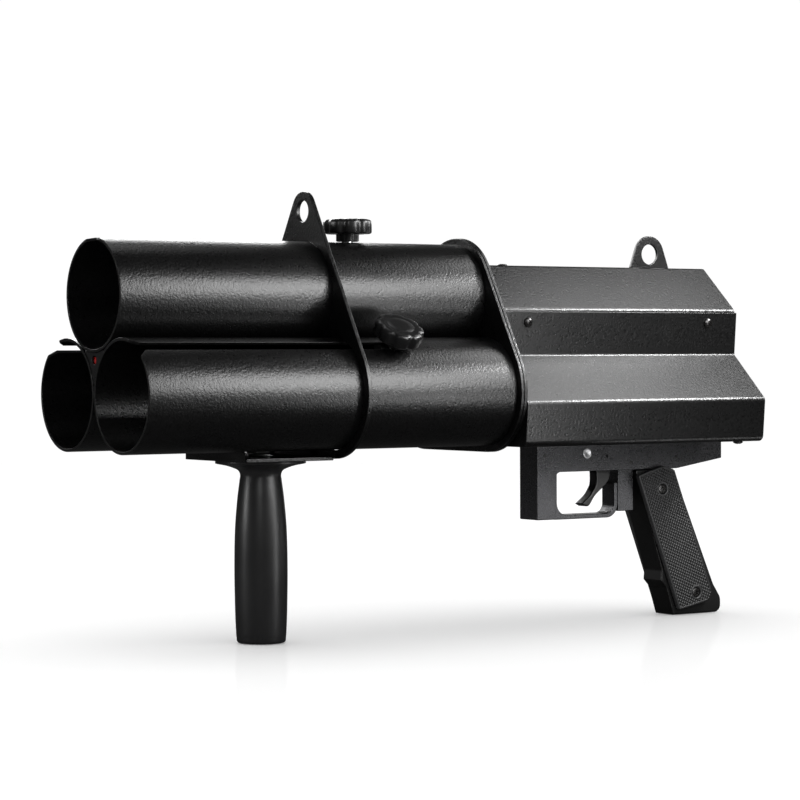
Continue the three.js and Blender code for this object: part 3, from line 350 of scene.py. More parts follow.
class Finish:
    """A material, or the world, that is built up from nodes. Its slot argument is not used."""

    def __init__(self, name, slot=None, family=bpy.data.materials):
        self.owner = family.new(name)
        self.owner.use_nodes = True
        self.tree = self.owner.node_tree
        self.tree.nodes.clear()

    def node(self, kind, sockets=None, output=0, **settings):
        """Adds a node: settings first, then its sockets, and returns one output as a Wire."""
        node = self.tree.nodes.new("ShaderNode" + kind)
        for key, value in settings.items():
            setattr(node, key, value)
        for key, value in (sockets or {}).items():
            if isinstance(value, Wire):
                self.tree.links.new(value.socket, node.inputs[key])
            else:
                node.inputs[key].default_value = value
        return Wire(self, node.outputs[output])

    def place(self):
        """Where a point lies on the object, in metres."""
        return self.node("TexCoord", output="Object")

    def noise(self, size_mm, detail=2.0, roughness=0.5, stretch=(1, 1, 1)):
        """Soft random values from 0 to 1 whose lumps are about this big."""
        spot = self.node("Mapping", {"Vector": self.place(), "Scale": stretch})
        sockets = {"Vector": spot, "Scale": 1000 / size_mm, "Detail": detail, "Roughness": roughness}
        return self.node("TexNoise", sockets, noise_dimensions="3D")

    def between(self, amount, low, high, start=0.0, end=1.0):
        """Runs from low to high as the amount goes from start to end, without passing them."""
        sockets = {"Value": amount, "From Min": start, "From Max": end, "To Min": low, "To Max": high}
        return self.node("MapRange", sockets, clamp=True)

    def colour(self, amount, low, high):
        """A colour between two, by an amount from 0 to 1."""
        return self.node("Mix", {0: amount, 6: (*low, 1), 7: (*high, 1)}, 2, data_type="RGBA")

    def relief(self, height, depth_mm, **sockets):
        """A bump whose height of 1 stands for this depth."""
        return self.node("Bump", {"Height": height, "Distance": depth_mm / 1000, **sockets})

    def surface(self, **sockets):
        """The one surface shader, from the sockets' names with underscores for spaces."""
        named = {key.replace("_", " "): value for key, value in sockets.items()}
        return self.ended(self.node("BsdfPrincipled", named))

    def ended(self, shader, kind="Material"):
        target = self.tree.nodes.new("ShaderNodeOutput" + kind)
        self.tree.links.new(shader.socket, target.inputs["Surface"])
        return self.owner


def times(colour, factor):
    return tuple(factor * part for part in colour)


# %% [markdown]
# ## Black powder coat
# The tubes, plates and sheet parts wear a baked powder coat: nearly black, half matt, with
# an orange peel that breaks the highlight into small grains. Two bumps make it, one of a
# millimetre or two for the peel and a much flatter one of several millimetres for the slow
# waviness of a sprayed coat. The roughness drifts a little too, as dust and hands do.

# %% Powder coat
def powder_coat(name, grain_mm=1.6, peel=0.21, rough=0.31, base=(0.0015, 0.0015, 0.0016)):
    coat = Finish(name, "black_powder_coat")
    grain = coat.noise(grain_mm, detail=1.6, roughness=0.7)
    waves = coat.noise(9.0, detail=1.0)
    drift = coat.noise(55.0, detail=3.0, roughness=0.6)
    colour = coat.colour(coat.between(grain, 0, 1, 0.38, 0.68), base, times(base, 2.0))
    bumps = coat.relief(grain, peel, Normal=coat.relief(waves, 0.02, Strength=0.5))
    roughness = rough + (drift - 0.5) * 0.06 + (grain - 0.5) * 0.2
    return coat.surface(Base_Color=colour, Roughness=roughness, Normal=bumps)


coat = powder_coat("powder coat")
fine_coat = powder_coat("smooth powder coat", grain_mm=1.5, peel=0.09, rough=0.34)

# %% [markdown]
# ## Moulded black plastic
# The handle, the knobs and the grip's core are moulded with a spark-eroded texture: finer
# than the powder coat and more matt. A worn look would be wrong here, so only the sheen
# varies, where the texture has been rubbed smooth by hands.

# %% Moulded plastic
def moulding(name, slot, grain_mm, depth, rough, base=(0.009, 0.009, 0.0095)):
    plastic = Finish(name, slot)
    grain = plastic.noise(grain_mm, roughness=0.65)
    drift = plastic.noise(30.0)
    colour = plastic.colour(drift, base, times(base, 1.5))
    roughness = rough + (drift - 0.5) * 0.12 + (grain - 0.5) * 0.1
    bumps = plastic.relief(grain, depth)
    return plastic.surface(Base_Color=colour, Roughness=roughness, Normal=bumps)


handle_plastic = moulding("handle plastic", "black_moulding", 0.7, 0.04, 0.34)
knob_plastic = moulding("knob plastic", "black_moulding", 0.45, 0.015, 0.32, (0.0045, 0.0045, 0.0047))
grip_plastic = moulding("grip core plastic", "black_moulding", 0.5, 0.02, 0.4, (0.0016, 0.0016, 0.0017))
socket_plastic = moulding("socket plastic", "socket_moulding", 0.4, 0.01, 0.5)

# %% [markdown]
# ## Metals, lens, board and battery
# Small metal parts show how they were made. Zinc plating is blotchy at a millimetre's
# scale, a turned button has rings round its axis, and black oxide on screws is smooth with
# a faint brown shine. The trigger frame is milled aluminium, blasted and dyed black, which
# looks greyer than paint. The lens is a deep red window.

# %% Small finishes
def blotched(name, slot, lumps, colours, rough, relief=None, **sockets):
    """A finish whose colour and roughness follow the same lumps: rough is (least, span)."""
    finish = Finish(name, slot)
    blotch = finish.noise(**lumps)
    if relief:
        height = finish.noise(**relief["lumps"]) if "lumps" in relief else blotch
        sockets["Normal"] = finish.relief(height, relief["depth_mm"])
    colour = finish.colour(blotch, *colours)
    return finish.surface(Base_Color=colour, Roughness=rough[0] + blotch * rough[1], **sockets)


def turned_aluminium(name, along):
    rings = {"lumps": {"size_mm": 0.35, "stretch": along}, "depth_mm": 0.006}
    return blotched(name, "bare_aluminium", {"size_mm": 2.5},
                    ((0.5, 0.5, 0.51), (0.66, 0.66, 0.67)), (0.24, 0.16), rings, Metallic=1.0)


def anodised():
    metal = Finish("black anodising", "black_powder_coat")
    blasted = metal.noise(1.1, detail=2.5, roughness=0.65)
    drift = metal.noise(24.0)
    colour = metal.colour(blasted, (0.03, 0.03, 0.032), (0.1, 0.1, 0.104))
    roughness = 0.3 + (blasted - 0.5) * 0.3 + (drift - 0.5) * 0.06
    bumps = metal.relief(blasted, 0.18)
    return metal.surface(Base_Color=colour, Metallic=0.85, Roughness=roughness, Normal=bumps)


def solder_mask():
    board = Finish("solder mask", "circuit_board")
    weave = board.noise(0.8, detail=1.0, stretch=(1, 1, 4))
    tracks = board.noise(3.5, detail=0.0)
    colour = board.colour(abs(tracks - 0.5) * 14 > 1, (0.03, 0.2, 0.08), (0.012, 0.11, 0.045))
    bumps = board.relief(weave, 0.01)
    return board.surface(Base_Color=colour, Roughness=0.35 + weave * 0.1, Normal=bumps)


zinc = blotched("zinc plate", "zinc_steel", {"size_mm": 3.0, "detail": 3.0, "roughness": 0.7},
                ((0.42, 0.43, 0.45), (0.62, 0.62, 0.6)), (0.26, 0.2), Metallic=1.0)
anodising = anodised()
aluminium = turned_aluminium("turned aluminium", (1, 6, 1))
pointer_tube = turned_aluminium("pointer tube", (6, 1, 1))
oxide = blotched("black oxide", "black_screw", {"size_mm": 1.6},
                 ((0.012, 0.012, 0.013), (0.03, 0.027, 0.025)), (0.2, 0.16),
                 Metallic=0.35, Specular_IOR_Level=0.6)
window_red = blotched("red pointer window", "pointer_lens", {"size_mm": 1.2, "detail": 1.0},
                      ((0.16, 0.004, 0.004), (0.3, 0.01, 0.008)), (0.08, 0.05), Coat_Weight=0.6)
board_green = solder_mask()
wrap_blue = blotched("battery wrap", "battery_wrap",
                     {"size_mm": 5.0, "detail": 3.0, "stretch": (0.3, 1, 1)},
                     ((0.02, 0.06, 0.2), (0.035, 0.1, 0.3)), (0.25, 0.15), {"depth_mm": 0.25})
print("finishes so far:", len(bpy.data.materials))

# %% [markdown]
# ## Launch tubes
# A launch tube is rolled and welded, then slotted from the muzzle back to the knob. A
# plain cylinder with a boolean cut would leave long thin faces along the slot, so the
# tube's two skins are grids instead: the angle runs from one lip of the slot right round
# to the other, and the slot's half width at each place along the tube decides where the
# lips are. Behind the knob the half width is nothing, so the lips meet and are welded.

# %% Tube sizes
barrel_radius = 38.0
barrel_wall = 2.0
barrel_length = 289.2
slot_half = 4.5
slot_lead_in = 5.0
knob_place = 199.0
barrel_pitch = 2 * barrel_radius + 0.6
top_height = barrel_pitch / math.sqrt(3)
stations = {
    "top": (0.0, top_height, 0.0),
    "left": (-barrel_pitch / 2, -top_height / 2, math.radians(31)),
    "right": (barrel_pitch / 2, -top_height / 2, math.radians(-31)),
}


def at_station(points, place):
    """Points about a tube's own axis, its slot up, turn about X and go to that tube's place.

    The turn takes across and up to across cos - up sin, and across sin + up cos.
    """
    y, z, turn = stations[place]
    cos, sin = math.cos(turn), math.sin(turn)
    along, across, up = np.moveaxis(points, -1, 0)
    return np.stack([along, across * cos - up * sin + y, across * sin + up * cos + z], -1)


def slot_half_width(x):
    """Lead-in at the mouth, then constant, then the half circle at the knob, then nothing."""
    lead = slot_half + slot_lead_in - np.clip(x, 0, slot_lead_in)
    end = np.sqrt(np.clip(slot_half**2 - np.clip(x - knob_place, 0, None) ** 2, 0, None))
    return np.where(x < slot_lead_in, lead, np.where(x < knob_place, slot_half, end))


# %% Tube mesh
def tube_mesh():
    """Grid of angle against length on two radii, joined by rims at the ends and the lips.

    At each place the angle runs from asin(half width / radius) round to the same on the
    other side, counted from the slot. The closed cross-section is one ring of columns.
    """
    run = [np.linspace(0, slot_lead_in, 5), np.linspace(slot_lead_in, knob_place, 60)[1:]]
    end = knob_place + slot_half * np.sin(np.linspace(0, np.pi / 2, 9))[1:]
    x = np.concatenate([*run, end, np.linspace(end[-1], barrel_length, 26)[1:]])
    share = np.linspace(0, 1, 129)
    rings = []
    for radius, order in ((barrel_radius, share), (barrel_radius - barrel_wall, share[::-1])):
        first = np.arcsin(slot_half_width(x) / radius)[:, None]
        angle = first + order * (2 * np.pi - 2 * first)
        flat = np.ones_like(order)
        rings.append(np.stack([x[:, None] * flat, radius * np.sin(angle), radius * np.cos(angle)], -1))
    grid = np.concatenate(rings, 1)
    rows, columns = grid.shape[:2]
    sides = grid_faces(rows, columns)
    lip_column = np.isin(sides[:, 0] % columns, (columns // 2 - 1, columns - 1))
    closed = x[sides[:, 0] // columns] > end[-1] - 1e-6
    sides = sides[~(lip_column & closed)]
    return grid.reshape(-1, 3), np.concatenate([sides, end_caps(rows, columns)])


tube_points, tube_faces = tube_mesh()
for place in stations:
    points = at_station(tube_points, place)
    add_piece(f"tube_{place}", points, tube_faces, coat, f"barrel_{place}", edge=0.45)

# %% [markdown]
# ## Breech sockets
# Deep in each tube sits the socket that a cartridge plugs on to: a cup with two contact
# pins. It is a turned shape, and its pins are two more, so one profile does each.

# %% Sockets
socket_depth, socket_floor = 18, 12
socket_bore, socket_radius = 28, barrel_radius - barrel_wall - clearance
socket_start = barrel_length - socket_depth
socket_corners = [(0, socket_floor), (socket_bore, socket_floor), (socket_bore, 0),
                  (socket_radius, 0), (socket_radius, socket_depth), (0, socket_depth)]
cup_points, cup_faces = turned_mesh(rounded_profile(socket_corners, [0, 1.0, 1.2, 0.6, 0.4, 0]), 72)
pin_points, pin_faces = turned_mesh(rod_profile(2, -8, 0.4, 1.2, 0), 20)
for place in stations:
    cup = at_station(stood(cup_points, (1, 0, 0), (socket_start, 0, 0)), place)
    add_piece(f"socket_{place}", cup, cup_faces, socket_plastic, f"breech_socket_{place}")
    for letter, side in (("a", -7), ("b", 7)):
        pin = at_station(stood(pin_points, (1, 0, 0), (socket_start + socket_floor, side, 0)), place)
        add_piece(f"contact_{place}_{letter}", pin, pin_faces, zinc)

# %% [markdown]
# ## Muzzle filler and pointer
# The three mouths leave a small concave triangle. A plate of that shape closes it, with a
# hole for the red pointer. Its outline is three arcs, each a tube's own circle plus a hair
# of clearance, cut off where the points of the triangle would be too thin to make.

# %% Filler plate
def tube_arcs(side, reach, steps):
    """Arcs of the tubes' circles that end where a circle of radius `reach` cuts them.

    That circle lies round the middle of the three tubes. On side 1 each arc is the one away
    from the middle, and on side -1 the one that faces it.
    """
    arcs = []
    radius = barrel_radius + clearance
    for y, z, _ in stations.values():
        distance = math.hypot(y, z)
        cut = math.acos((distance**2 + radius**2 - reach**2) / (2 * distance * radius))
        start = cut - np.pi if side > 0 else cut
        angle = math.atan2(side * z, side * y) + np.linspace(start, -start, steps)
        arcs.append(arc_points(angle, y, z, radius))
    return arcs


pointer_height = 1.2
filler_front, filler_back = 0.5, 3.5
filler_outline = np.concatenate(tube_arcs(-1, 14.2, 14))
hole = circle_path(0, pointer_height, 3.0, 32)
add_plate("muzzle_filler", [filler_outline, hole], along_x, filler_front, filler_back, fine_coat,
          0.25, "muzzle_web")
lens_profile = rounded_profile([(0, 0), (2.7, 0), (2.7, 1.7), (0, 2)], [0, 0.1, 0.3, 0])
add_turned("pointer_window", lens_profile, (-1, 0, 0), (filler_back, 0, pointer_height), window_red,
           32, "laser_lens")
add_turned("pointer_body", rod_profile(4.6, 0, 54, 0.5, 0.5), (1, 0, 0),
           (filler_back + clearance, 0, pointer_height), pointer_tube, 32, "laser_module")

# %% [markdown]
# ## Plates round the tubes
# Two kinds of plate hold the tubes: the carrier half way along, which rises to a hanging
# eye, and the pair at the breech. Both outlines are belts pulled round circles. The
# carrier's inside is the union of three tube holes, so its hole is one clover outline. Its
# top leaf is flattened at the crown, where a low tongue fills the tube's open slot.

# %% Carrier plate
carrier_place, carrier_thickness = 162.0, 3.0
eye_height, eye_radius, eye_hole = 103.0, 13.6, 7.5
tongue_depth = 0.2
clover = tube_arcs(1, 24.3, 60)
clover[0][:, 1] = np.minimum(clover[0][:, 1], top_height + barrel_radius - tongue_depth)


def round_tubes(radius):
    """Circles of one radius about the two lower tubes."""
    return [(side * barrel_pitch / 2, -top_height / 2, radius) for side in (-1, 1)]


carrier_outline = belt_path([*round_tubes(44.2), (0, eye_height, eye_radius)], 40)
carrier_holes = [np.concatenate(clover), circle_path(0, eye_height, eye_hole, 48)]
add_plate("carrier", [carrier_outline, *carrier_holes], along_x, carrier_place,
          carrier_place + carrier_thickness, coat, 0.45, "carrier_plate")

# %% Breech plates
disc_radius, disc_thickness = 42.5, 2.5
disc_outline = belt_path([*round_tubes(disc_radius), (0, top_height, disc_radius)], 40)
breech_place = barrel_length + clearance
front_place = breech_place + disc_thickness + clearance
for name, start in (("breech", breech_place), ("body_front", front_place)):
    add_plate(f"{name}_disc", [disc_outline], along_x, start, start + disc_thickness, coat, 0.4,
              f"{name}_plate")

# %% [markdown]
# ## Clamp knobs
# A clamp knob is a moulded head with eight lobes on a ribbed hub. Its surface is a
# profile of radius against height, and the lobes come from one formula: the radius loses
# a narrow dip at eight angles, where the dip is a high power of a cosine. The stud below
# it carries a pad that presses on the cartridge.

# %% Knobs
def knob_mesh(lobes=8, count=192):
    """radius(angle, height) = profile(height) - depth(height) * |cos(lobes angle / 2)|^6."""
    base, head, top = 38.5, 43.9, 54.6
    profile = np.array([
        (0, base, 0), (7.2, base, 0), (8, base + 0.5, 0.5), (8, head - 0.5, 0.5), (8.4, head - 0.05, 0.2),
        (11, head - 0.02, 0.6), (15.6, head, 1.5), (16.5, head + 0.35, 1.5), (17, head + 1.1, 1.5),
        (17, top - 3.2, 1.5), (16.85, top - 2.3, 1.5), (16.3, top - 1.4, 1.5), (15.3, top - 0.8, 1.45),
        (13.5, top - 0.5, 1.0), (11.0, top - 0.55, 0.2), (10.2, top - 0.75, 0), (9.4, top - 0.6, 0),
        (8.4, top - 0.25, 0), (5, top - 0.06, 0), (0, top, 0),
    ])
    angle = full_turn(count)
    dip = np.abs(np.cos(lobes * angle / 2)) ** 6
    return carried_round(profile[:, :1] - profile[:, 2:] * dip, profile[:, 1:2], angle)


knob_parts = (
    ("knob_head", knob_mesh(), knob_plastic, "knob", "knob", 55),
    ("stud", turned_mesh(rod_profile(4, 28.3, 49.9, 0.6, 0.6), 32), zinc, "knob_stud", "knob", 30),
    ("pad", turned_mesh(rod_profile(7, 25.4, 28.0, 0.8, 0.4), 40), socket_plastic, "clamp_pad",
     "clamp_pad", 30),
)
for place in stations:
    for name, (points, faces), finish, node, body, sharp in knob_parts:
        points = at_station(points + (knob_place, 0, 0), place)
        add_piece(f"{name}_{place}", points, faces, finish, f"{node}_{place}",
                  body=f"{body}_{place}", sharp=sharp)

# %% [markdown]
# ## Folded body
# The body is two folded sheets. Real folds aren't sharp: the sheet bends round a tool, and
# the outside of a fold is a soft arc that catches a bright line of light. So the section
# is drawn as a path, its corners get arcs, the path is moved sideways by the sheet's
# thickness, and both together are carried along X.

# %% Section of the body
body_start = front_place + disc_thickness + clearance
body_length = 217.0
body_end = body_start + body_length
body_foot = -60.5
sheet, cover_sheet = 2.0, 1.5
wall_top, wall_foot = (48.5, 34.1), (46.1, 3.2)


def mirrored(half):
    """A half section from the left, then its mirror image back up on the right."""
    half = np.asarray(half, float)
    return np.concatenate([half * (-1, 1), half[::-1]])


def inside_wall(height, gap):
    """Half the width between the upper walls' inner faces at a height, less a gap."""
    share = (height - wall_foot[1]) / (wall_top[1] - wall_foot[1])
    return wall_foot[0] + (wall_top[0] - wall_foot[0]) * share - sheet - gap


shell_corners = mirrored([wall_top, wall_foot, (80.6, -29.2), (78.0, body_foot)])
cover_walls = [(inside_wall(height, clearance), height) for height in (18.0, 36.0)]
cover_corners = mirrored([*cover_walls, (10.7, 67.8)])


def folded_section(corners, thickness, bend):
    """A closed section: the outer face's path with arcs, and the inner face's path back.

    The sheet lies to the left of the path. An arc on the outside of a fold is the inner
    bend plus the thickness, so that the sheet keeps its thickness round the fold.
    """
    ahead = np.roll(corners, -1, 0) - corners
    behind = corners - np.roll(corners, 1, 0)
    left_turn = behind[:, 0] * ahead[:, 1] - behind[:, 1] * ahead[:, 0] > 0
    outer = filleted(corners, np.where(left_turn, bend + thickness, bend), closed=False, steps=10)
    inside = moved_sideways(corners, thickness, closed=False)
    inner = filleted(inside, np.where(left_turn, bend, bend + thickness), closed=False, steps=10)
    return outer, inner


def folded_mesh(corners, thickness, bend, sections=8):
    """Sections along the body, joined by quads, with strips between the faces as end caps."""
    outer, inner = folded_section(corners, thickness, bend)
    section = np.concatenate([outer, inner[::-1]])
    places = np.linspace(body_start, body_end, sections)
    points = np.concatenate([along_x(section, x) for x in places])
    size = sections, len(section)
    return points, np.concatenate([grid_faces(*size), end_caps(*size)])


# %% Shell, roof and end cover
add_piece("shell", *folded_mesh(shell_corners, sheet, 2.8), coat, "chassis", edge=0.35)
wall_outline = filleted(moved_sideways(shell_corners, sheet / 2), 3.8)
add_plate("shell_front", [wall_outline], along_x, body_start + inset, body_start + sheet, coat, 0.3)
add_piece("roof", *folded_mesh(cover_corners[::-1], cover_sheet, 2.6), coat, "roof_cover", edge=0.3)


def end_cover_outline():
    """The inner faces of the shell and of the roof cover, both less a gap."""
    lower_part = moved_sideways(shell_corners, sheet + clearance, closed=False)[1:-1]
    upper_part = moved_sideways(cover_corners, -cover_sheet - clearance, closed=False)
    return filleted(np.concatenate([upper_part[:1], lower_part, upper_part[:0:-1]]), 2.0)


def flat_sheet(start, end, half, corner):
    """A rectangle in (x, y) from start to end, as far to the left as to the right."""
    return filleted(mirrored([(half, start), (half, end)])[:, ::-1], corner)


cover_end = body_end - 1.0
flange_low = body_foot + sheet + clearance
add_plate("end_cover", [end_cover_outline()], along_x, cover_end - sheet, cover_end, fine_coat, 0.4,
          "rear_cover")
add_plate("end_cover_flange", [flat_sheet(cover_end - 26, cover_end - 1, 72.7, 2.0)], along_z,
          flange_low, flange_low + sheet, fine_coat, 0.3)

# %% [markdown]
# ## Hanging eye on the roof
# The rear eye is a small plate that stands on the roof: a belt round its rounded top and
# the two ends of its foot, with the same hole as the front one.

# %% Roof eye
roof_eye = (467.6, 78.3)
eye_foot = [(roof_eye[0] + side, 68.6, 0.5) for side in (-17.5, 17.5)]
eye_outline = belt_path([*eye_foot, (*roof_eye, eye_radius)])
add_plate("roof_eye", [eye_outline, circle_path(*roof_eye, eye_hole, 48)], along_y, -1.25, 1.25,
          coat, 0.4, "roof_hanging_eye")

# %% [markdown]
# ## Screws
# Every screw is one height field: a round dome, sunk by a cross where the driver goes. The
# cross is the larger of two soft bars, and each bar is a smooth step of the distance from
# its own middle line. That keeps a screw at a few hundred faces.

# %% Screw heads
def soft_bar(across, along, width, length):
    """One inside the bar and nothing outside, with a short slope: a product of two ramps."""
    side = np.clip((width / 2 - np.abs(across)) / 0.22 + 0.5, 0, 1)
    tip = np.clip((length / 2 - np.abs(along)) / 0.35 + 0.5, 0, 1)
    return side * tip


def screw_mesh(radius, height, crown, recess, depth, length, count=48, shank=1.7, lip=0.25):
    """height(r) = rim + crown (1 - (r / radius)^2), less depth times the cross."""
    angle = full_turn(count)
    reach = np.concatenate([[0], np.linspace(0.12, 1, 16) * (radius - lip)])[::-1, None]
    x, y = reach * np.cos(angle), reach * np.sin(angle)
    cross = np.maximum(soft_bar(y, x, recess * 0.3, recess), soft_bar(x, y, recess * 0.3, recess))
    dome = height - crown * (reach / radius) ** 2 - depth * cross
    skirt = rounded_profile([(0, -length), (shank, -length), (shank, 0), (radius, 0),
                             (radius, height - crown - lip)], [0, 0.3, 0, 0.2, 0])
    wall = skirt[:, 1:] * np.ones_like(angle)
    return carried_round(np.concatenate([skirt[:, :1], reach]), np.concatenate([wall, dome]), angle)


def add_screw(name, node, axis, seat, radius, height, crown, recess=3.6, depth=1.0, length=6.0):
    points, faces = screw_mesh(radius, height, crown, recess, depth, length)
    add_piece(name, stood(points, axis, seat), faces, oxide, node, sharp=40)


lean = math.atan2(wall_top[0] - wall_foot[0], wall_top[1] - wall_foot[1])
screw_level = 26.5
wall_half = inside_wall(screw_level, 0) + sheet + clearance
for side_name, side in (("left", -1), ("right", 1)):
    for end_name, x in (("front", 319.4), ("rear", 484.5)):
        axis = (0, side * math.cos(lean), -math.sin(lean))
        place = f"{side_name}_{end_name}"
        add_screw(f"wall_screw_{place}", f"cover_screw_{place}", axis,
                  (x, side * wall_half, screw_level), 3.6, 2.2, 1.5, recess=3.2)
    add_screw(f"floor_screw_{side_name}", f"base_screw_{side_name}", (0, 0, -1),
              (body_end - 14.0, side * 66.0, body_foot - clearance), 3.6, 2.0, 1.2)
for end_name, x in (("front", 308.0), ("rear", 332.0)):
    add_screw(f"top_screw_{end_name}", f"roof_screw_{end_name}", (0, 0, 1), (x, 0, 68.1), 3.6, 1.2,
              0.6, depth=0.8, length=5.5)

# %% [markdown]
# ## Front handle
# The handle is turned: a wide flange under the bracket, a neck, then a belly that swells
# and narrows again to the foot it stands on. A smooth curve through a few radii gives the
# profile, by cubic interpolation between them, so there are no facets in the outline.

# %% Handle profile
def smooth_through(knots, steps=10):
    """Catmull-Rom: each span is a cubic whose slopes are half the way between neighbours."""
    p = np.asarray(knots, float)
    p = np.concatenate([2 * p[:1] - p[1:2], p, 2 * p[-1:] - p[-2:-1]])
    a, b, c, d = p[:-3, None], p[1:-2, None], p[2:-1, None], p[3:, None]
    t = np.linspace(0, 1, steps, endpoint=False)[None, :, None]
    square, cube = 2 * a - 5 * b + 4 * c - d, 3 * b - a - 3 * c + d
    span = 0.5 * (2 * b + (c - a) * t + square * t**2 + cube * t**3)
    return np.concatenate([span.reshape(-1, p.shape[1]), p[-2:-1]])


handle_place = 127.7
handle_top = -67.6
stud_hole = 5.3
stud_end = -109.5
belly = [(16.9, -188.3), (17.22, -184.4), (17.78, -170.8), (18.22, -142.4), (17.7, -115.0),
         (16.05, -93.9), (14.5, -81.6), (14.05, -77.5), (15.2, -74.6), (18.6, -72.7),
         (24.0, -71.0), (29.6, -69.9)]
foot = rounded_profile([(0, -foot_depth), (16.7, -foot_depth), belly[0]], [0, 3.2, 0], 6)
rim = rounded_profile([belly[-1], (31, -69.6), (31, handle_top), (stud_hole, handle_top),
                       (stud_hole, stud_end), (0, stud_end)], [0, 0.4, 0.5, 0.3, 0, 0])
profile = distinct(np.concatenate([foot[:-1], smooth_through(belly)[:-1], rim]), False)
upright, under_handle = (0, 0, 1), (handle_place, 0, 0)
add_turned("front_handle", profile, upright, under_handle, handle_plastic, 96, "side_handle",
           sharp=40)

# %% [markdown]
# ## Bracket and handle fittings
# The bracket is a plate under the tubes with a low wall in front and a flange up to the
# carrier. It is drawn from three plates that share their edges. The stud, washer and nut
# that hold the handle show between the tubes.

# %% Bracket
def under_tubes(half, low, top, steps=81):
    """A wall's outline in (y, z): its top is a level, cut down by the lower tubes' circles."""
    y = np.linspace(half, -half, steps)
    radius = barrel_radius + clearance
    arch = -top_height / 2 - np.sqrt(radius**2 - (np.abs(y) - barrel_pitch / 2) ** 2)
    upper = np.stack([y, np.minimum(arch, top)], -1)
    return np.concatenate([[(-half, low), (half, low)], upper])


bracket_start, bracket_end = 91.7, carrier_place - clearance
bracket_half, bracket_sheet = 40, 2.5
bracket_low = handle_top + clearance
bracket_top = bracket_low + bracket_sheet
bracket_outline = flat_sheet(bracket_start, bracket_end, bracket_half, 1.2)
bore = circle_path(handle_place, 0, stud_hole, 32)
add_plate("bracket_plate", [bracket_outline, bore], along_z, bracket_low, bracket_top, coat, 0.35,
          "handle_bracket")
add_plate("bracket_wall", [under_tubes(bracket_half - inset, bracket_low + inset, -57.8)], along_x,
          bracket_start + inset, bracket_start + bracket_sheet, coat, 0.25)
add_plate("bracket_flange", [under_tubes(14, bracket_low + 5 * inset, -48.8)], along_x,
          bracket_end - bracket_sheet, bracket_end - inset, coat, 0.2)

# %% Stud, washer and nut
nut_across_flats, nut_height, washer_height = 17, 8, 1.5
washer_low = bracket_top + clearance
nut_low = washer_low + washer_height + clearance
add_turned("handle_bolt", rod_profile(5, -109.6, -52.8, 0.8, 0.8), upright, under_handle, zinc, 32,
           "handle_stud")
corner_angle = np.radians(-20) + full_turn(6)
hexagon = arc_points(corner_angle, handle_place, 0, nut_across_flats / math.sqrt(3))
washer = circle_path(handle_place, 0, 11.5, 64)
add_plate("bolt_nut", [filleted(hexagon, 0.4), bore], along_z, nut_low, nut_low + nut_height, zinc,
          0.5, "handle_nut")
add_plate("bolt_washer", [washer, bore], along_z, washer_low, washer_low + washer_height, zinc, 0.3,
          "handle_washer")

# %% [markdown]
# ## Trigger frame and guard
# The frame is milled from one block: a long bar under the body with a block in front of
# the finger window and a narrower one behind it. The guard is a strap bent from the bar
# down and back up along the rear block, where it ends in a half round. Its section is the
# same everywhere, so its outline is an outer line and an inner line with a cap between.

# %% Frame block
frame_half = 10.75
guard_half = 7.4
frame_top, frame_low = body_foot - clearance, -82.0
window_front, window_back, rear_end = 372.0, 432.0, 446.5
frame_corners = [(355, frame_top), (355, -116.5), (window_front, -116.5), (window_front, frame_low),
                 (486, frame_low), (tail_end, -75.2), (tail_end, frame_top)]
block = filleted(frame_corners, [0.6, 1.0, 0.6, 4.5, 6.0, 1.0, 0.6])
add_plate("frame_block", [block], along_y, -frame_half, frame_half, anodising, 0.6, "trigger_frame")
rear_corners = [(window_back, -80.6), (window_back, -112.5), (rear_end, -112.5), (rear_end, -80.6)]
rear_block = filleted(rear_corners, [0.4, 0.8, 1.0, 0.4])
add_plate("frame_rear_block", [rear_block], along_y, -guard_half, guard_half, anodising, 0.5)

strap, guard_foot, guard_tip = 3.2, -116.9, -92.6
guard_front, guard_back = window_front + clearance, window_back - clearance
guard_corners = np.array([(guard_front, frame_low - clearance), (guard_front, guard_foot),
                          (guard_back, guard_foot), (guard_back, guard_tip)])
guard_inside = moved_sideways(guard_corners, strap, closed=False)
guard_outer = filleted(guard_corners, [0, 1.6, 10.0, 0], closed=False, steps=12)
guard_inner = filleted(guard_inside, [0, 9.0, 6.8, 0], closed=False, steps=12)
guard_cap = arc_points(np.linspace(0, np.pi, 9)[1:-1], guard_back - strap / 2, guard_tip, strap / 2)
guard = np.concatenate([guard_outer, guard_cap, guard_inner[::-1]])
add_plate("guard_strap", [guard], along_y, -guard_half, guard_half, anodising, 0.5, "trigger_guard")

# %% [markdown]
# ## Trigger and its mechanism
# The trigger is a curved blade on a pin. Its edge is a smooth curve through chosen points,
# and a generous rounding stands for the way a cast trigger is polished where the finger
# lies. Its hub is narrower, to leave room for the spring. The pin, the spring, the switch
# and its plunger are inside the frame. Three more pins show their ends on its sides.

# %% Trigger
def blade_curve(shares):
    """A smooth curve through shares of the blade's width and drop, from its front root down."""
    return smooth_through(np.array([414.0, frame_low]) + np.asarray(shares) * (14.0, -26.6), 6)


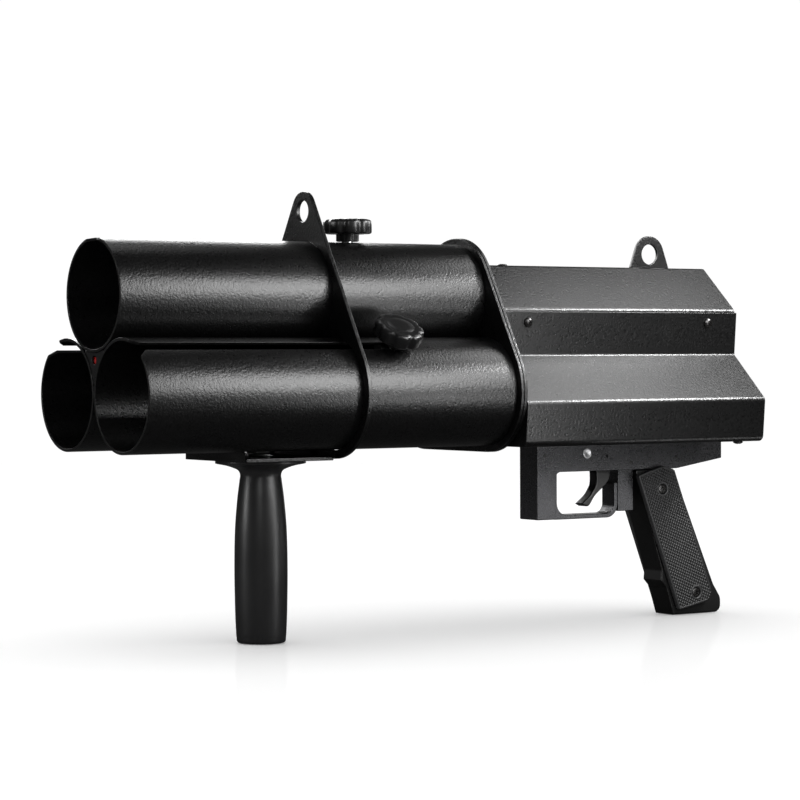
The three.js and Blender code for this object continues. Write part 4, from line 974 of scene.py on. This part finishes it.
blade_front = blade_curve([(0, 0), (0, 0.35), (-0.15, 0.52), (-0.42, 0.7), (-0.97, 0.917)])
blade_rear = blade_curve([(-0.736, 0.98), (-0.45, 0.965), (-0.086, 0.718), (0.293, 0.549),
                          (0.679, 0.395), (0.93, 0.2), (0.93, 0)])
pivot = (419.4, -71.3)
crown = arc_points(np.linspace(0, np.pi, 15), *pivot, 5.0)
trigger_path = np.concatenate([blade_front, blade_rear, [(424.4, -76.5)], crown])
blade_top, hub_foot = -80.2, -84.0
blade = trigger_path[trigger_path[:, 1] < blade_top]
hub = trigger_path[trigger_path[:, 1] > hub_foot]
add_plate("trigger_blade", [blade], along_y, -4.5, 4.5, fine_coat, 1.2, "trigger", body="trigger")
add_plate("trigger_hub", [hub, circle_path(*pivot, 1.58, 24)], along_y, -4.4, -0.3, fine_coat, 0.4,
          body="trigger")


def add_cross_pin(name, x, z, profile, finish, count=24, node=None, **facts):
    """A turned piece whose axis crosses the frame from side to side."""
    add_turned(name, profile, (0, 1, 0), (x, 0, z), finish, count, node, **facts)


add_cross_pin("pivot_pin", *pivot, rod_profile(1.5, -frame_half, frame_half, 0.25, 0.25), zinc,
              node="trigger_pin")
for name, x, z in (("front", 362.0, -70.0), ("middle", 441.9, -76.3), ("rear", 485.1, -73.6)):
    add_cross_pin(f"frame_pin_{name}", x, z, rod_profile(1.4, -10.9, 10.9, 0.2, 0.2), oxide)

# %% Safety button
button = rod_profile(4, -11.25, 13.75, 0.7, 0.7)
dimple = np.array([(0, -10.85), (1.0, -10.85), (2.6, -11.2)])
add_cross_pin("button", 400.7, -68.9, np.concatenate([dimple, button[1:]]), aluminium, 48,
              "safety_button", body="safety_button")

# %% [markdown]
# ## Pistol grip
# The core leans back, with a small ledge on its front strap for the little finger and a
# heel that stands out behind. The two side panels are checkered: two families of fine
# grooves cross at right angles, one along the grip's lean. The grooves are too fine for
# geometry, so the panel's material presses them in and paints their bottoms darker as
# painted shade, with a plain border along the outline, and the panel itself has a
# rounded edge.

# %% Grip core
core_front, core_top = rear_end + clearance, frame_low - clearance
strap_top, strap_toe = (core_front, -85.3), (482.0, -foot_depth)


def strap_point(share, proud=0.0):
    """A point of the front strap: a share of the way to the toe, standing proud of the line."""
    x, z = (top + (toe - top) * share for top, toe in zip(strap_top, strap_toe))
    return x - proud, z


core_corners = [(core_front, core_top), strap_top, strap_point(0.683), strap_point(0.755, 3.2),
                strap_point(0.803), strap_toe, (528.4, -foot_depth), (528.4, -181),
                (521.3, -170.4), (482.4, core_top)]
core = filleted(core_corners, [0, 0, 4, 1.2, 1.2, 0.6, 8, 8, 12, 0])
add_plate("grip_body", [core], along_y, -frame_half, frame_half, grip_plastic, 1.0, "grip_core")


# %% Checkered material
def checkered(name, screws, outline, pitch=0.0021, border=0.0013, ring=0.0052):
    """Two families of grooves, one along the lean, but none at the border and round the screws.

    A point's distance from a side of the outline is its offset from the side's first corner
    times the side's inward normal, and the border is where that is small for any side.
    """
    panel = Finish(name, "grip_panel")
    place = panel.place()
    (top_x, top_z), (foot_x, foot_z) = outline[:2]
    lean_angle = math.atan2(foot_x - top_x, top_z - foot_z)
    spot = panel.node("Mapping", {"Vector": place, "Rotation": (0, -lean_angle, 0)})
    grooves = 1
    for axis in "XZ":
        part = panel.node("SeparateXYZ", {"Vector": spot}, axis)
        wave = panel.node("Math", {0: part, 1: pitch / 2}, operation="PINGPONG")
        grooves = panel.between(wave * (2 / pitch), 0, 1) ** 0.6 * grooves
    plain = 0
    for x, z in screws:
        centre = tuple(placed([(x, 0, z)])[0])
        offset = panel.node("VectorMath", {0: place, 1: centre}, operation="SUBTRACT")
        flat = panel.node("VectorMath", {0: offset, 1: (1, 0, 1)}, operation="MULTIPLY")
        distance = panel.node("VectorMath", {0: flat}, "Value", operation="LENGTH")
        plain = panel.between(distance, 1, 0, ring, ring + 0.0006) + plain
    x, z = (panel.node("SeparateXYZ", {"Vector": place}, axis) for axis in "XZ")
    corners = placed([(px, 0, pz) for px, pz in outline])[:, ::2]
    for first, last in zip(corners, np.roll(corners, -1, 0)):
        side = (last - first) / np.linalg.norm(last - first)
        inward = (x - float(first[0])) * float(-side[1]) + (z - float(first[1])) * float(side[0])
        plain = plain + panel.between(inward, 1, 0, border, border + 0.0004)
    plain = panel.between(plain, 0, 1)
    grooves = grooves * (1 - plain) + plain
    bumps = panel.relief(grooves, 0.6, Normal=panel.relief(panel.noise(0.5), 0.02))
    # Painted shade: the grooves' bottoms are coloured much darker than the lands and the plain border
    colour = panel.colour(grooves, (0.0018, 0.0018, 0.002), (0.024, 0.024, 0.025))
    roughness = 0.5 + (panel.noise(22.0) - 0.5) * 0.16
    return panel.surface(Base_Color=colour, Roughness=roughness, Normal=bumps,
                         Specular_IOR_Level=0.42)


panel_corners = [(445.4, -86.3), (484.6, -188.3), (518.9, -181.4), (480.3, -83.0), (470.0, -79.3)]


def on_panel(depth_share, height_share):
    """A place on the panel by its shares of the depth and of the height between the corners."""
    front_top, front_foot, back_foot, back_top = np.array(panel_corners[:4])
    front = front_top + (front_foot - front_top) * height_share
    back = back_top + (back_foot - back_top) * height_share
    return tuple((front + (back - front) * depth_share).tolist())


grip_screws = [on_panel(0.538, 0.124), on_panel(0.586, 0.915)]
panel_finish = checkered("checkered panel", grip_screws, panel_corners)

# %% Grip panels
panel_face = frame_half + clearance
panel_thickness = 4.0
well_depth = 2.6
wells = [circle_path(x, z, 3.75, 36) for x, z in grip_screws]
panel_outlines = [filleted(panel_corners, [2.0, 2.0, 8.0, 2.0, 16.0]), *wells]
for side_name, side in (("left", -1), ("right", 1)):
    low, high = sorted((side * panel_face, side * (panel_face + panel_thickness)))
    add_plate(f"panel_{side_name}", panel_outlines, along_y, low, high, panel_finish, 0.9,
              f"grip_panel_{side_name}")
    for end_name, (x, z) in zip(("upper", "lower"), grip_screws):
        place = f"{side_name}_{end_name}"
        seat = side * (panel_face + panel_thickness - well_depth + clearance)
        add_screw(f"panel_screw_{place}", f"grip_screw_{place}", (0, side, 0), (x, seat, z), 3.4,
                  2.0, 0.7, recess=3.8, depth=1.1)
        add_turned(f"well_floor_{place}", rod_profile(4.1, 0, 1.1, 0.2, 0.2), (0, side, 0),
                   (x, side * panel_face, z), grip_plastic, 32, slot="grip_panel")

# %% [markdown]
# ## CAD nodes that stay
# The electrics, the slot nuts and the switch already have their right shape in the CAD, and
# most of them are hidden. They keep their meshes and only get a finish.

# %% Finish the kept nodes
kept = {
    "battery_pack": wrap_blue, "control_board": board_green, "fire_switch": socket_plastic,
    "fire_switch_plunger": socket_plastic, "trigger_spring": zinc,
    **{f"clamp_nut_{place}": zinc for place in stations},
}
for name, finish in kept.items():
    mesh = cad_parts[name].data
    mesh.materials.clear()
    mesh.materials.append(finish)
print("pieces made:", len(made), "and CAD nodes kept:", len(kept))


# %% [markdown]
# ## Floor, world and lamps
# A catalogue picture of a black object is lit by few soft lamps. A box beside the tubes
# draws the bright band along each of them, one over the body lights its slanted faces, a
# thin strip draws the lines along the folds, and others draw the edges of the handle, the
# trigger frame and the far sides. The world is white to the camera and to matt surfaces and
# nearly dark to glossy ones, because the coat in the photograph shows no bright room.

# %% Camera
def camera_at(azimuth, elevation, roll, place, focal_px, width_px=800):
    """The view direction from azimuth and elevation, then a turn about it by the roll."""
    a, e, r = map(math.radians, (azimuth, elevation, roll))
    back = Vector((math.sin(a) * math.cos(e), -math.cos(a) * math.cos(e), math.sin(e)))
    right = Vector((math.cos(a), math.sin(a), 0))
    up = back.cross(right)
    right, up = right * math.cos(r) + up * math.sin(r), up * math.cos(r) - right * math.sin(r)
    data = bpy.data.cameras.new("camera")
    data.sensor_width = 36
    data.lens = focal_px / width_px * data.sensor_width
    data.clip_start, data.clip_end = 0.05, 60
    camera = bpy.data.objects.new("camera", data)
    turn = Matrix((right, up, back)).transposed().to_4x4()
    camera.matrix_world = Matrix.Translation(placed([place])[0]) @ turn
    bpy.context.scene.collection.objects.link(camera)
    bpy.context.scene.camera = camera


camera_at(azimuth=-33.9814, elevation=0.98274, roll=-0.19888, focal_px=2804.909,
          place=(-862.169, -1639.015, 5.989))

# %% Floor and backdrop
white = (1, 1, 1, 1)


def floor_finish():
    """Pale with the object's shadow and a weak mirror, and dark to rays from glossy coats."""
    floor = Finish("pale floor")
    glossy_ray = floor.node("LightPath", output="Is Glossy Ray")
    tint = floor.colour(floor.noise(400.0, detail=1.0), (0.97, 0.97, 0.97), (0.99, 0.99, 0.99))
    paper = floor.node("BsdfDiffuse", {"Color": tint})
    glow = floor.node("Emission", {"Color": white, "Strength": 0.17})
    matt = floor.node("AddShader", {0: paper, 1: glow})
    mirror = floor.node("BsdfGlossy", {"Color": white, "Roughness": 0.1})
    polished = floor.node("MixShader", {0: 0.08, 1: matt, 2: mirror})
    quiet = floor.node("BsdfDiffuse", {"Color": (0.05, 0.05, 0.05, 1)})
    return floor.ended(floor.node("MixShader", {0: glossy_ray, 1: polished, 2: quiet}))


def backdrop_finish():
    """White to the camera, and a paler grey in reflections."""
    paper = Finish("white backdrop")
    camera_ray = paper.node("LightPath", output="Is Camera Ray")
    tint = paper.colour(paper.noise(900.0, detail=1.0), (0.985, 0.985, 0.985), (1.0, 1.0, 1.0))
    strength = paper.between(camera_ray, 0.8, 1.02)
    return paper.ended(paper.node("Emission", {"Color": tint, "Strength": strength}))


def staged(name, corners, finish):
    """A flat sheet of the studio from four corners in metres, which isn't part of the object."""
    mesh = bpy.data.meshes.new(name)
    mesh.from_pydata(corners, [], [(0, 1, 2, 3)])
    mesh.materials.append(finish)
    stage_piece = bpy.data.objects.new(name, mesh)
    bpy.context.scene.collection.objects.link(stage_piece)
    return stage_piece


floor_half = 14.0
floor_level = -0.0004
square = ((-1, -1), (1, -1), (1, 1), (-1, 1))
floor_corners = [(floor_half * x, floor_half * y, floor_level) for x, y in square]
floor = staged("floor", floor_corners, floor_finish())

backdrop_distance, backdrop_half, backdrop_top = 3.0, 1.3, 0.9
away, across = np.array([0.559, 0.829]) * backdrop_distance, np.array([0.829, -0.559]) * backdrop_half
foot, head = ([(*(away + across * side), z) for side in (-1, 1)] for z in (floor_level, backdrop_top))
staged("backdrop", [*foot, *head[::-1]], backdrop_finish())


# %% World
def studio_world(ambient=1.0, glossy=0.03):
    """White to the camera and to matt surfaces, and nearly dark to glossy ones."""
    world = Finish("studio", family=bpy.data.worlds)
    sockets = {0: world.node("LightPath", output="Is Glossy Ray")}
    for place, strength in enumerate((ambient, glossy), 1):
        sockets[place] = world.node("Background", {"Color": white, "Strength": strength})
    bpy.context.scene.world = world.ended(world.node("MixShader", sockets), "World")


studio_world()

# %% Lamps
unlit = bpy.data.collections.new("not lit by the lamps")
unlit.objects.link(floor)
unlit.collection_objects[0].light_linking.link_state = "EXCLUDE"


def soft_box(name, place, aim, size, radiance):
    """A rectangular lamp at a layout place, facing another one, as wide and high in millimetres.

    Its power is four times its radiance times its area. It draws highlights only: matt
    surfaces get all their light from the world, so a colour looks as it is written. The
    floor is left out, so that its mirror doesn't show the lamp.
    """
    data = bpy.data.lights.new(name, "AREA")
    data.shape = "RECTANGLE"
    data.size, data.size_y = (side / 1000 for side in size)
    data.energy = 4 * radiance * data.size * data.size_y
    lamp = bpy.data.objects.new(name, data)
    start, end = (Vector(placed([spot])[0]) for spot in (place, aim))
    facing = (end - start).to_track_quat("-Z", "Y").to_matrix().to_4x4()
    lamp.matrix_world = Matrix.Translation(start) @ facing
    lamp.visible_camera = False
    lamp.visible_diffuse = False
    lamp.light_linking.receiver_collection = unlit
    bpy.context.scene.collection.objects.link(lamp)


# Each lamp's name, its place, where it faces, its size and its radiance
for lamp in (
    ("tube box", (425, -480, 172), (425, -60, -8), (330, 285), 9.2),
    ("handle box", (495, -480, -115), (495, -60, -115), (115, 150), 7.0),
    ("body box", (630, -100, 370), (630, -100, 0), (260, 200), 4.1),
    ("fold strip", (690, -260, 272), (690, -60, 60), (190, 80), 74.0),
    ("frame strip", (508, -112, -119), (508, -10, -119), (190, 36), 1.7),
    ("left box", (-1150, 400, 230), (120, 0, -80), (260, 420), 13.0),
    ("camera box", (-760, -1260, 480), (120, 0, -80), (200, 260), 13.0),
    ("far side box", (250, 700, 420), (250, 0, 0), (900, 350), 6.0),
    ("rear box", (1300, 250, 350), (500, 0, 0), (500, 350), 6.0),
    ("top box", (250, 250, 950), (250, 0, 0), (600, 300), 1.2),
):
    soft_box(*lamp)

bpy.context.scene.view_settings.view_transform = "Standard"
